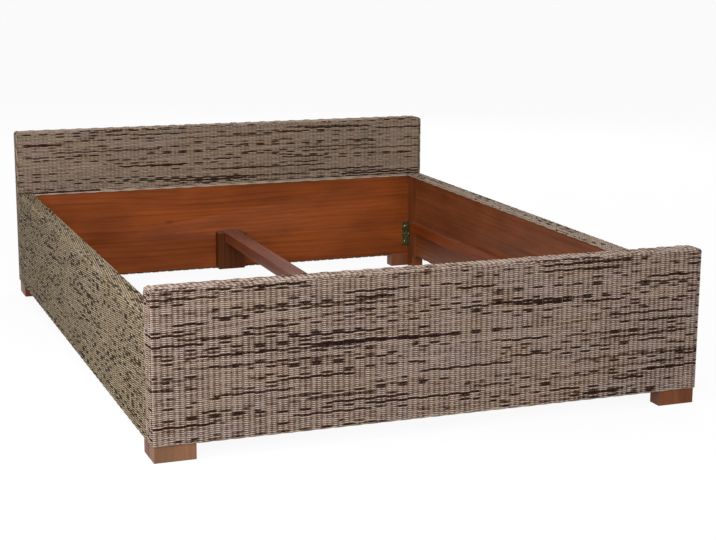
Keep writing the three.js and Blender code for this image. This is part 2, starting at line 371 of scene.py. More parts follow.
@dataclass(frozen=True)
class CaneFinish:
    """Woven cane: each strand's own shade comes from the tone and tint that its mesh carries.

    Recess is painted shade: how much darker the cane is between its neighbours. Band_shade is
    painted shade too: how much darker it is between the upright ribs. The scales are cycles in a
    metre along a strand and in its width.
    """

    name: str
    palest: Rgb
    middle: Rgb
    brown: Rgb
    burnt: Rgb
    recess: float = 0.12
    band_shade: float = 0.4
    roughness: float = 0.6

    SHINE = 0.1
    FIBRE_SCALE = (45.0, 3.0, 0.0)
    FINE_SCALE = (160.0, 9.0, 0.0)
    SPOT_SCALE = (90.0, 1.4, 0.0)
    ROW_SHIFT = 7.13
    FIBRE_DEPTH = 0.26
    FINE_DEPTH = 0.2
    SPOT_DEPTH = 0.22
    TONES = (0.0, 0.35, 0.68, 1.0)
    TINTS = (0.0, 0.35, 0.65, 1.0)
    HUES = ((1.05, 0.99, 0.86, 1.0), (1.0, 0.99, 0.95, 1.0),
                      (1.04, 0.96, 0.94, 1.0), (0.96, 0.98, 1.0, 1.0))
    HUE_SHARE = 0.8
    BUMP = 0.2 * MM

    def material(self) -> bpy.types.Material:
        """Builds the material: shade by strand, hue patches, fibre streaks, a split skin, and painted
        shade in recesses and in bands between the ribs.

        Returns:
            The finished material.
        """
        w = ShaderWriter(self.name, self.SHINE)
        along, row, width = w.separate(w.attribute("strand", "Vector")).values()
        skin, shift = w.combine(along, width, 0.0), w.combine(0.0, row * self.ROW_SHIFT, 0.5)
        fibre = w.noise(skin * self.FIBRE_SCALE + shift, 3.0)
        fine = w.noise(skin * self.FINE_SCALE + shift, 2.0)
        spot = w.noise(skin * self.SPOT_SCALE + shift, 1.0)
        beat = w.math("COSINE", w.attribute("beat") * TURN)
        tone = w.attribute("tone") + (fibre * self.FIBRE_DEPTH - self.FIBRE_DEPTH / 2)
        tone = tone + w.spread(spot, 0.66, 0.8, 0.0, self.SPOT_DEPTH)
        # Painted shade: cane that runs back behind its neighbours is darkened.
        tone = tone + w.spread(w.attribute("lift"), -1.0, -0.2, self.recess, 0.0)
        # Painted shade: bands between the upright ribs are darkened, standing in for the shade where strands
        # tilt.
        tone = tone + (beat * (-self.band_shade / 2) + self.band_shade / 2)
        shades = [srgb(shade) for shade in (self.palest, self.middle, self.brown, self.burnt)]
        colour = w.ramp(tone, self.TONES, shades)
        hue = w.ramp(w.attribute("tint"), self.TINTS, self.HUES)
        colour = w.mix(self.HUE_SHARE, colour, hue, "MULTIPLY")
        colour = w.dim(colour, fine * self.FINE_DEPTH + (1 - self.FINE_DEPTH / 2))
        rough = w.spread(fibre, 0.2, 0.8, self.roughness - 0.08, self.roughness + 0.12)
        return w.finish(colour, rough, fibre * 0.6 + fine * 0.4, self.BUMP)


@dataclass(frozen=True)
class ShadeSheetFinish:
    """A dark sheet behind the weave, whose colour is painted shade seen through the gaps."""

    name: str
    dark: Rgb
    paler_shade: Rgb = (92, 78, 62)

    def material(self) -> bpy.types.Material:
        """Builds the material: a dull dark brown painted shade with paler patches.

        Returns:
            The finished material.
        """
        w = ShaderWriter(self.name)
        dust_and_painted_light = w.noise(w.place() * 60.0, 4.0)
        colour = w.mix(w.spread(dust_and_painted_light, 0.4, 0.8, 0.0, 0.3), srgb(self.dark), srgb(self.paler_shade))
        return w.finish(colour, w.spread(dust_and_painted_light, 0.2, 0.8, 0.8, 0.95), dust_and_painted_light, 0.4 * MM)


@dataclass(frozen=True)
class PlatedFinish:
    """Yellow zinc plate with worn, darkened places."""

    name: str
    bright: Rgb
    dull: Rgb
    roughness: float

    def material(self) -> bpy.types.Material:
        """Builds the material: plating colour, tarnish and pitting.

        Returns:
            The finished material.
        """
        w = ShaderWriter(self.name)
        tarnish = w.noise(w.place() * 130.0, 4.0, Distortion=0.6)
        pit = w.noise(w.place() * 900.0, 2.0)
        colour = w.mix(w.spread(tarnish, 0.42, 0.62), srgb(self.bright), srgb(self.dull))
        rough = w.spread(tarnish, 0.3, 0.7, self.roughness, self.roughness + 0.2) + (pit * 0.1 - 0.05)
        w.feed(w.shader.inputs["Metallic"], w.spread(tarnish, 0.45, 0.65, 0.95, 0.35))
        return w.finish(colour, rough, pit, 0.08 * MM)


class GeometryTree(TreeWriter):
    """A Geometry Nodes group with named inputs, used by a modifier."""

    def __init__(self, name: str, inputs: dict[str, str]) -> None:
        """Starts the group.

        Args:
            name: What the group is called.
            inputs: For each kind of socket, the names of its inputs with commas between them.
        """
        super().__init__(bpy.data.node_groups.new(name, "GeometryNodeTree"))
        sockets = self.tree.interface.new_socket
        for way in ("OUTPUT", "INPUT"):
            sockets(name="Geometry", in_out=way, socket_type="NodeSocketGeometry")
        self.identifiers = {
            label: sockets(name=label, in_out="INPUT", socket_type=f"NodeSocket{kind}").identifier
            for kind, labels in inputs.items() for label in labels.split(", ")}
        self.given = self.outputs("NodeGroupInput")

    def store(self, geometry: Value, name: str, value: Any, kind: str = "FLOAT") -> Value:
        """Stores a named attribute on the points and returns the geometry."""
        feeds = {"Geometry": geometry, "Name": name, "Value": value}
        return self.node("GeometryNodeStoreNamedAttribute", feeds, data_type=kind, domain="POINT")

    def read(self, name: str, kind: str = "FLOAT") -> Value:
        """Reads a named attribute."""
        return self.node("GeometryNodeInputNamedAttribute", {"Name": name}, data_type=kind)

    def either(self, choice: Value, when_false: Value, when_true: Value, kind: str = "FLOAT") -> Value:
        """Switches between two values by a true or false input."""
        feeds = {"Switch": choice, "False": when_false, "True": when_true}
        return self.node("GeometryNodeSwitch", feeds, input_type=kind)

    def sampled(self, mode: str, place: Value) -> dict[str, Value]:
        """Reads the guide path, by the length or the factor along it.

        Args:
            mode: LENGTH or FACTOR.
            place: Where along the path each point reads it.

        Returns:
            The path's position and tangent there, by name.
        """
        path = self.node("GeometryNodeMeshToCurve", {0: self.given["Geometry"]})
        feeds = {"Curves": path, mode.title(): place}
        return self.outputs("GeometryNodeSampleCurve", feeds, mode=mode)

    def tubes(self, count: Value, sides: int, steps: Value) -> Value:
        """Straight unit tubes, one for each strand, that carry their spoke, ring and row.

        Args:
            count: How many tubes there are.
            sides: How many sides a tube has.
            steps: How many steps it has along its length.

        Returns:
            The realized tubes.
        """
        feeds = {"Vertices": sides, "Side Segments": steps, "Radius": 1.0, "Depth": 1.0}
        tube = self.node("GeometryNodeMeshCylinder", feeds, "Mesh", fill_type="NGON")
        x, y, z = self.separate(self.node("GeometryNodeInputPosition")).values()
        ring = self.math("ROUND", (z + 0.5) * steps)
        tube = self.store(tube, "spoke", self.combine(x, y, ring), "FLOAT_VECTOR")
        line = self.node("GeometryNodeMeshLine", {"Count": count, "Offset": (0.0, 0.0, 0.0)})
        line = self.store(line, "row", self.node("GeometryNodeInputIndex"))
        placed = self.node("GeometryNodeInstanceOnPoints", {"Points": line, "Instance": tube})
        return self.node("GeometryNodeRealizeInstances", {0: placed})

    def close(self, geometry: Value) -> None:
        """Smooths the geometry, makes its instances real, gives it the finish and ends the tree.

        Args:
            geometry: What the tree has made.
        """
        smooth = self.node("GeometryNodeSetShadeSmooth", {"Geometry": geometry})
        real = self.node("GeometryNodeRealizeInstances", {0: smooth})
        dressed = self.node("GeometryNodeSetMaterial", {"Geometry": real, "Material": self.given["Finish"]})
        self.add("NodeGroupOutput", {0: dressed})

    def close_strands(self, tubes: Value, position: Value, along: Value, width: Value) -> None:
        """Moves the tubes into place, stores what the finish reads and ends the tree.

        Args:
            tubes: The realized tubes.
            position: Where each point goes.
            along: How far along its strand a point is, in metres.
            width: Where across the strand it is, from -1 to 1.
        """
        strand = self.combine(along, self.read("row"), width)
        tubes = self.store(tubes, "strand", strand, "FLOAT_VECTOR")
        moved = self.node("GeometryNodeSetPosition", {"Geometry": tubes, "Position": position})
        for spare in ("spoke", "row"):
            moved = self.node("GeometryNodeRemoveAttribute", {"Geometry": moved, "Name": spare})
        self.close(moved)

    def grow(self, name: str, path: Sequence[Vector], values: dict[str, Any],
             facings: Sequence[Vector] = ()) -> bpy.types.Object:
        """Runs the tree on a path and keeps the result as a plain mesh.

        Args:
            name: The new object's name.
            path: The points of the path.
            values: The tree's inputs by name; the others stay at zero.
            facings: A direction for each point, stored as "facing".

        Returns:
            The new object.
        """
        guide = bpy.data.meshes.new(name)
        guide.from_pydata([tuple(point) for point in path], [(i, i + 1) for i in range(len(path) - 1)], [])
        if facings:
            layer = guide.attributes.new("facing", "FLOAT_VECTOR", "POINT")
            layer.data.foreach_set("vector", [number for facing in facings for number in facing])
        grown = linked(name, guide)
        modifier = grown.modifiers.new("grown", "NODES")
        modifier.node_group = self.tree
        for socket, value in values.items():
            modifier[self.identifiers[socket]] = value
        graph = bpy.context.evaluated_depsgraph_get()
        solid = bpy.data.meshes.new_from_object(
            grown.evaluated_get(graph), preserve_all_data_layers=True, depsgraph=graph)
        grown.modifiers.clear()
        grown.data = solid
        solid.name = name
        bpy.data.meshes.remove(guide)
        return grown


@dataclass(frozen=True)
class CaneSizes:
    """The strand and stake sizes that every woven panel shares, in metres, and the weave's shares."""

    repeat: float = 62.4 * MM
    row_pitch: float = 2.75 * MM
    half_width: float = 1.95 * MM
    half_thickness: float = 0.9 * MM
    depth: float = 2.4 * MM
    wave: float = 1.9 * MM
    taper: float = 0.25
    waist: float = -0.1
    dip: float = 0.3
    spring: float = 0.95
    unevenness: float = 0.3 * MM
    wobble: float = 7.0 * MM
    corner_pull: float = 12 * MM
    corner_clear: float = 6 * MM
    stake_half_width: float = 2.7 * MM
    stake_half_thickness: float = 0.8 * MM
    stake_depth: float = 2.7 * MM
    shade_sheet_depth: float = 4.5 * MM
    shade_sheet_thickness: float = 0.3 * MM


CANE = CaneSizes()
NO_CORNERS = (-9.0, -9.0)


class WeaveTree(GeometryTree):
    """Strands that pass over two stakes and under two, on a surface swept from a path.

    Six rings make one repeat: three in front of the stakes and three behind them.
    """

    RINGS = 6.0
    SIDES = 4
    GIRTH_CHANGE = 0.35

    def __init__(self) -> None:
        """Writes the tree."""
        super().__init__("cane_weave", {
            "Material": "Finish", "Bool": "Rows Follow Path", "Vector": "Sweep", "Int": "Repeats, Rows",
            "Float": "Run Start, Run Length, First Row, Row Pitch, Half Width, Half Thickness, Depth, Wave, "
                     "Taper, Waist, Dip, Spring, Unevenness, Wobble, Side Start, Side Length, Side Wobble, "
                     "First Corner, Last Corner, Seed"})
        given, half = self.given, self.RINGS / 2
        self.row = self.read("row")
        tubes = self.tubes(given["Rows"], self.SIDES, given["Repeats"] * self.RINGS)
        outward, sideways, ring = self.separate(self.read("spoke", "FLOAT_VECTOR")).values()
        odd = self.math("FLOORED_MODULO", self.row, 2.0)
        count = odd * half + ring
        whole = self.math("FLOOR", (count + 0.01) / self.RINGS)
        step = count - whole * self.RINGS
        behind = self.math("GREATER_THAN", step, half - 0.5)
        ahead = 1.0 - behind
        turns = whole + (step + behind) / (self.RINGS + 2) - odd * 0.5
        even = turns * (given["Run Length"] / given["Repeats"]) + given["Run Start"]
        level = self.row * given["Row Pitch"] + given["First Row"]
        self.along = even + self.wobbled(even, level, "Run Start", "Run Length", "Wobble")

        off_middle = self.math("ABSOLUTE", self.math("FLOORED_MODULO", step, half) - 1.0)
        middle = self.math("LESS_THAN", off_middle, 0.5)
        lift = ahead - behind + (middle * (behind * given["Spring"]) - middle * (ahead * given["Dip"]))
        thinned = (1.0 - middle) * (behind * given["Taper"]) + middle * (ahead * given["Waist"])
        girth = (1.0 - thinned) * (self.wander(30.0, 0.0) * self.GIRTH_CHANGE + 1.0)
        drift = self.wander(16.0, 40.5) * (given["Unevenness"] * 2.0)
        rise = self.wander(24.0, 90.5) * given["Unevenness"]
        across = level + self.wobbled(level, even, "Side Start", "Side Length", "Side Wobble") + drift
        out = given["Wave"] * lift + rise - given["Depth"] + outward * (given["Half Thickness"] * girth)
        aside = sideways * (given["Half Width"] * girth)

        tubes, position = self.swept(tubes, level, across, out, aside)
        tubes = self.store(tubes, "lift", lift)
        # The phase of the ribs, which the cane finish reads for its painted band shade.
        tubes = self.store(tubes, "beat", turns * 4.0)
        self.close_strands(tubes, position, self.along, sideways)

    def wobbled(self, place: Value, slow: Value, start: str, length: str, size: str) -> Value:
        """A sway that shifts the crossings and dies out towards both ends.

        Args:
            place: Where a point is on the swaying line.
            slow: Where it is across that line.
            start: The input that says where the line starts.
            length: The input with the line's length.
            size: The input with the sway's size.

        Returns:
            How far the point shifts.
        """
        done = place - self.given[start]
        inside = self.math("MINIMUM", done, self.given[length] - done) / (4 * CANE.repeat)
        free = self.math("MINIMUM", self.math("MAXIMUM", inside, 0.0), 1.0)
        sway = self.noise(self.combine(place * 21.0, slow * 1.5, 7.7), 1.0)
        return (sway - 0.5) * (free * self.given[size])

    def wander(self, scale: float, offset: float) -> Value:
        """Each strand's own slow change along its length, from -0.5 to 0.5."""
        place = self.combine(self.along * scale, self.row * 3.37 + offset, self.given["Seed"])
        return self.noise(place, 1.0) - 0.5

    def swept(self, tubes: Value, level: Value, across: Value, out: Value,
              aside: Value) -> tuple[Value, Value]:
        """Lays the strands on the surface, clear of its corners.

        Args:
            tubes: The realized tubes.
            level: Where each row lies.
            across: Where each point lies across the strands.
            out: How far it stands out of the surface.
            aside: How far it lies beside its strand's middle.

        Returns:
            The tubes without stakes that would stand on a corner, and the points' places.
        """
        follow, sweep = self.given["Rows Follow Path"], self.given["Sweep"]
        bent = self.either(follow, across, self.along)
        for corner in (self.given["First Corner"], self.given["Last Corner"]):
            on_corner = self.math("LESS_THAN", self.math("ABSOLUTE", level - corner), CANE.corner_clear)
            feeds = {"Geometry": tubes, "Selection": on_corner * (1.0 - follow)}
            tubes = self.node("GeometryNodeDeleteGeometry", feeds)
            off = bent - corner
            near = self.math("MINIMUM", self.math("ABSOLUTE", off) / CANE.corner_pull, 1.0)
            bent = off * near + corner
        sample = self.sampled("LENGTH", bent)
        normal = self.math("NORMALIZE", self.math("CROSS_PRODUCT", sample["Tangent"], sweep))
        lateral = self.either(follow, sample["Tangent"], sweep * -1.0, "VECTOR")
        straight = self.either(follow, self.along, across)
        return tubes, sample["Position"] + sweep * straight + normal * out + lateral * aside


class TwistTree(GeometryTree):
    """Strands twisted round each other along a path that lies in one plane."""

    SIDES = 6

    def __init__(self) -> None:
        """Writes the tree."""
        super().__init__("cane_twist", {
            "Material": "Finish", "Vector": "Plane Normal", "Int": "Strands, Steps",
            "Float": "Radius, Offset, Turns, Start Turn, Length"})
        given = self.given
        tubes = self.tubes(given["Strands"], self.SIDES, given["Steps"])
        outward, sideways, ring = self.separate(self.read("spoke", "FLOAT_VECTOR")).values()
        row, share = self.read("row"), ring / given["Steps"]
        sample = self.sampled("FACTOR", share)
        upright = given["Plane Normal"]
        normal = self.math("NORMALIZE", self.math("CROSS_PRODUCT", sample["Tangent"], upright))
        turn = share * given["Turns"] + row / given["Strands"]
        angle = (turn + given["Start Turn"]) * TURN
        lump = self.noise(self.combine(share * given["Steps"], row * 9.1, 0.5), 1.0)
        girth = given["Radius"] * (lump * 0.3 + 0.85)
        out = self.math("COSINE", angle) * given["Offset"] + outward * girth
        aside = self.math("SINE", angle) * given["Offset"] - sideways * girth
        position = sample["Position"] + normal * out + upright * aside
        tubes = self.store(tubes, "lift", 1.0)
        self.close_strands(tubes, position, share * given["Length"], sideways)


class ScrewTree(GeometryTree):
    """Dome-headed screws with a cross recess, one at each point of a guide mesh.

    Each point carries the way that its head faces.
    """

    SIZES = "Head Radius, Head Height, Shank Radius, Shank Length, Recess Length, Recess Width, Recess Depth"
    CRISP_ANGLE = math.radians(35)

    def __init__(self) -> None:
        """Writes the tree."""
        super().__init__("screws", {"Material": "Finish", "Int": "Seed", "Float": self.SIZES})
        given = self.given
        x, y, z = self.separate(self.node("GeometryNodeInputPosition")).values()
        ball = self.node("GeometryNodeMeshUVSphere", {"Segments": 24, "Rings": 12, "Radius": 1.0}, "Mesh")
        dome = self.combine(x * given["Head Radius"], y * given["Head Radius"],
                            self.math("MAXIMUM", z, 0.0) * given["Head Height"])
        head = self.node("GeometryNodeSetPosition", {"Geometry": ball, "Position": dome})
        for length, width in (("Recess Length", "Recess Width"), ("Recess Width", "Recess Length")):
            size = self.combine(given[length], given[width], given["Recess Depth"] * 2.0)
            bar = self.raised(self.node("GeometryNodeMeshCube", {"Size": size}, "Mesh"), given["Head Height"])
            feeds = {"Mesh 1": head, "Mesh 2": bar}
            head = self.node("GeometryNodeMeshBoolean", feeds, operation="DIFFERENCE")
        feeds = {"Vertices": 12, "Radius": given["Shank Radius"], "Depth": given["Shank Length"]}
        shank = self.node("GeometryNodeMeshCylinder", feeds, "Mesh")
        screw = self.add("GeometryNodeJoinGeometry", {0: head})
        self.feed(screw.inputs[0], self.raised(shank, given["Shank Length"] * -0.5))

        feeds = {2: 0.0, 3: math.pi, 8: given["Seed"]}
        spin = self.node("FunctionNodeRandomValue", feeds, 1, data_type="FLOAT")
        turned = self.node("FunctionNodeAxisAngleToRotation", {"Axis": (0.0, 0.0, 1.0), "Angle": spin})
        feeds = {"Rotation": turned, "Vector": self.read("facing", "FLOAT_VECTOR")}
        facing = self.node("FunctionNodeAlignRotationToVector", feeds, axis="Z")
        placed = self.node("GeometryNodeInstanceOnPoints", {
            "Points": given["Geometry"], "Instance": Value(self, screw.outputs[0]), "Rotation": facing})
        real = self.node("GeometryNodeRealizeInstances", {0: placed})
        smooth = self.node("GeometryNodeSetShadeSmooth", {"Geometry": real})
        corner = self.math("GREATER_THAN", self.node("GeometryNodeInputMeshEdgeAngle"), self.CRISP_ANGLE)
        feeds = {"Geometry": smooth, "Selection": corner, "Shade Smooth": False}
        crisp = self.node("GeometryNodeSetShadeSmooth", feeds, domain="EDGE")
        dressed = self.node("GeometryNodeSetMaterial", {"Geometry": crisp, "Material": given["Finish"]})
        self.add("NodeGroupOutput", {0: dressed})

    def raised(self, shape: Value, height: Value) -> Value:
        """Moves a shape up by a height."""
        feeds = {"Geometry": shape, "Translation": self.combine(0.0, 0.0, height)}
        return self.node("GeometryNodeTransform", feeds)


ARC_STEPS = 6


def rounded(corners: Sequence[Vector], radii: Sequence[float], steps: int = ARC_STEPS) -> list[Vector]:
    """A path with its inner corners rounded.

    Args:
        corners: The corners of the path, with its two ends.
        radii: The radius at each inner corner.
        steps: How many straight steps each arc has.

    Returns:
        The points of the rounded path.
    """
    points = [corners[0]]
    for before, corner, after, radius in zip(corners, corners[1:], corners[2:], radii):
        back = (before - corner).normalized()
        ahead = (after - corner).normalized()
        centre = corner + (back + ahead) * radius
        start, end = corner + back * radius, corner + ahead * radius
        for index in range(steps + 1):
            angle = math.pi / 2 * index / steps
            points.append(centre + ((start - centre) * math.cos(angle) + (end - centre) * math.sin(angle)))
    points.append(corners[-1])
    return points


def path_length(path: Sequence[Vector]) -> float:
    """How long a path is."""
    return sum((after - before).length for before, after in zip(path, path[1:]))


def linked(name: str, data: bpy.types.ID) -> bpy.types.Object:
    """Makes an object of a mesh, lamp or camera and links it to the scene.

    Args:
        name: The object's name.
        data: What it shows.

    Returns:
        The new object.
    """
    made = bpy.data.objects.new(name, data)
    bpy.context.scene.collection.objects.link(made)
    return made


def from_bmesh(name: str, shape: bmesh.types.BMesh, finish: bpy.types.Material) -> bpy.types.Object:
    """Makes an object of a bmesh, which it frees.

    Args:
        name: The object's name.
        shape: The bmesh.
        finish: The object's material.

    Returns:
        The new object.
    """
    mesh = bpy.data.meshes.new(name)
    shape.to_mesh(mesh)
    shape.free()
    mesh.materials.append(finish)
    return linked(name, mesh)


def joined(name: str, parts: list[bpy.types.Object]) -> bpy.types.Object:
    """Joins several meshes into one piece.

    Args:
        name: The piece's name.
        parts: The objects to join; they are used up.

    Returns:
        The joined object.
    """
    whole = parts[0]
    with bpy.context.temp_override(active_object=whole, selected_editable_objects=parts):
        bpy.ops.object.join()
    whole.name = name
    whole.data.name = name
    return whole


@dataclass(frozen=True)
class Shades:
    """How the strands' natural shades vary over one panel.

    Plain is the common tone and spread how much it varies. Density is the number of dark stretches
    in a square metre, wavy scales the odds of broad ones, reach scales their lengths, and hidden is
    how much paler a dark strand is where it runs behind its neighbours.
    """

    density: float = 570.0
    plain: float = 0.22
    spread: float = 0.3
    hue: float = 0.45
    wavy: float = 1.0
    hidden: float = 0.3
    reach: float = 1.0


class Mark(Enum):
    """A kind of dark stretch: the rows that it takes, its lengths in metres and how often it comes."""

    DASH = ((0,), 0.02, 0.06, 0.47)
    TRAIN = ((0,), 0.08, 0.34, 0.39)
    WAVY_LINE = ((0, 1), 0.09, 0.42, 0.12)
    DOUBLE_TRAIN = ((0, 2), 0.05, 0.16, 0.01)
    BLOB = ((0, 1, 2), 0.02, 0.05, 0.01)


class StrandShader:
    """Gives each point of a piece's strands its tone and tint."""

    SHADE_CELL = 0.09
    FINE_CELL = 0.025
    HUE_CELL = 0.16
    BUNDLE_CELL = 0.12
    FLECK_CELL = 0.02
    PLAIN_CELL = 0.05
    PLAIN_HUE_CELL = 0.2
    BUNDLE_ROWS = 24
    MIDDLE_HUE = 0.45
    DARK_TONE = 0.4
    BEHIND_LIFT = 0.3
    MARK_FADE = 12 * MM

    def __init__(self, piece: bpy.types.Object, seed: int) -> None:
        """Reads where the points lie.

        Args:
            piece: The strands.
            seed: The seed of their random numbers.
        """
        self.mesh = piece.data
        self.rng = np.random.default_rng(seed)
        strand = self.read("strand", "vector", 3)
        self.along, self.row = strand[:, 0].astype(float), np.rint(strand[:, 1]).astype(int)

    def read(self, name: str, kind: str, width: int) -> np.ndarray:
        """Reads an attribute of the mesh.

        Args:
            name: The attribute's name.
            kind: The name of its values.
            width: How many numbers each point has.

        Returns:
            One line of numbers for each point.
        """
        flat = np.empty(len(self.mesh.vertices) * width, np.float32)
        self.mesh.attributes[name].data.foreach_get(kind, flat)
        return flat.reshape(-1, width)

    def noise(self, cell: float, row: np.ndarray | None = None) -> np.ndarray:
        """Smooth noise that runs along each strand on its own.

        Args:
            cell: The length over which the noise changes, in metres.
            row: Which line of noise each point reads, if not its strand's own.

        Returns:
            Values from -0.5 to 0.5.
        """
        row = self.row if row is None else row
        place = self.along / cell - np.floor(self.along.min() / cell)
        index = np.floor(place).astype(int)
        table = self.rng.random((row.max() + 1, index.max() + 2))
        share = place - index
        share = share * share * (3 - 2 * share)
        return table[row, index] * (1 - share) + table[row, index + 1] * share - 0.5

    def store(self, tone: np.ndarray, tint: np.ndarray) -> None:
        """Stores the tones and tints, kept between 0 and 1, on the mesh.

        Args:
            tone: How dark each point is.
            tint: Which hue it has.
        """
        for name, values in (("tone", tone), ("tint", tint)):
            layer = self.mesh.attributes.new(name, "FLOAT", "POINT")
            layer.data.foreach_set("value", np.clip(values, 0, 1).astype(np.float32))

    def plain(self, tone: float, spread: float, second: float = 0.0) -> None:
        """Shades strands without dark stretches, with every second one darker by that much."""
        tones = tone + second * (self.row % 2) + spread * self.noise(self.PLAIN_CELL)
        self.store(tones, 0.5 + 0.6 * self.noise(self.PLAIN_HUE_CELL))

    def natural(self, area: float, shades: Shades) -> None:
        """Shades a panel's strands, with their dark stretches.

        Args:
            area: The panel's area in square metres.
            shades: How its shades vary.
        """
        tone = shades.plain + shades.spread * self.noise(self.SHADE_CELL)
        tone += 0.5 * shades.spread * self.noise(self.FINE_CELL)
        tint = 0.5 + 1.1 * self.noise(self.HUE_CELL)
        bundles = self.noise(self.BUNDLE_CELL, self.row // self.BUNDLE_ROWS)
        tint += 0.8 * bundles + shades.hue - self.MIDDLE_HUE
        self.darken(tone, area, shades)
        tone += 0.16 * self.noise(self.FLECK_CELL) * (tone > self.DARK_TONE)
        self.store(tone, tint)

    def darken(self, tone: np.ndarray, area: float, shades: Shades) -> None:
        """Draws the dark stretches.

        Args:
            tone: The points' tones, which it changes.
            area: The panel's area in square metres.
            shades: How the panel's shades vary.
        """
        rng, along, last = self.rng, self.along, self.row.max()
        order = np.argsort(self.row, kind="stable")
        starts = np.searchsorted(self.row[order], np.arange(last + 2))
        lift = self.read("lift", "value", 1)[:, 0]
        bared = np.where(lift < self.BEHIND_LIFT, 1.0 - shades.hidden, 1.0)
        low, high = along.min(), along.max()
        marks = [mark.value for mark in Mark]
        odds = np.array([often * (shades.wavy if 1 in lines else 1.0) for lines, _, _, often in marks])
        for _ in range(int(area * shades.density)):
            lines, shortest, longest, _ = marks[rng.choice(len(marks), p=odds / odds.sum())]
            length = shades.reach * rng.uniform(shortest, longest) * rng.uniform(0.6, 1.25)
            start = rng.uniform(low - length / 2, high)
            first = rng.integers(0, last + 1)
            strength = 0.98 if rng.random() < 0.5 else rng.uniform(0.55, 0.9)
            for here in (first + line for line in lines if first + line <= last):
                chosen = order[starts[here]:starts[here + 1]]
                inside = np.minimum(along[chosen] - start, start + length - along[chosen])
                dark = np.clip(inside / self.MARK_FADE + 0.5, 0, 1) * strength * bared[chosen]
                tone[chosen] = np.maximum(tone[chosen], dark)
                start += rng.uniform(-self.MARK_FADE, self.MARK_FADE)
                length *= rng.uniform(0.85, 1.1)


class Border(Enum):
    """A kind of twisted border.

    Each gives the length of a full turn, the strands' radius, how far their middles are from the
    line, the turn they start at, how dark they are and how much darker the second one is.
    """

    HEM = (96 * MM, 1.6 * MM, 1.2 * MM, 0.3, 0.3, 0.25)
    SIDE_RIM = (72 * MM, 1.9 * MM, 1.6 * MM, 0.8, 0.25, 0.5)
    PLANK_SEAM = (150 * MM, 1.9 * MM, 1.5 * MM, 1.0, 0.05, 0.0)
    BURNT_CAP = (180 * MM, 1.7 * MM, 1.3 * MM, 0.9, 0.95, 0.0)
    PALE_CAP = (180 * MM, 1.7 * MM, 1.3 * MM, 0.9, 0.3, 0.0)
    RAIL_HEM = (96 * MM, 1.6 * MM, 1.2 * MM, 0.3, 0.42, 0.25)
    RAIL_LIP = (150 * MM, 1.9 * MM, 1.5 * MM, 0.3, 0.05, 0.0)
    RAIL_END = (84 * MM, 2 * MM, 1.8 * MM, 0.5, 0.15, 0.35)


@dataclass(frozen=True)
class Surface:
    """A woven surface swept straight from a path, which is on its outer face.

    Run is where the strands start and end, and rows is the stretch over which they are spaced.
    Follow is true if the strands follow the path, and corners says where the path turns.
    """

    path: list[Vector]
    sweep: Vector
    run: Span
    rows: Span
    follow: bool = True
    corners: Span = NO_CORNERS

    def crossed(self, run: Span | None = None) -> "Surface":
        """The same surface for the stakes that cross its strands."""
        return Surface(self.path, self.sweep, run or self.rows, self.run, not self.follow, self.corners)

    def inputs(self) -> dict[str, Any]:
        """What the weave's tree has to know of the surface.

        Returns:
            The tree's inputs by name.
        """
        return {"Rows Follow Path": self.follow, "Sweep": self.sweep, "Run Start": self.run[0],
                "Run Length": self.run[1] - self.run[0], "First Corner": self.corners[0],
                "Last Corner": self.corners[1]}


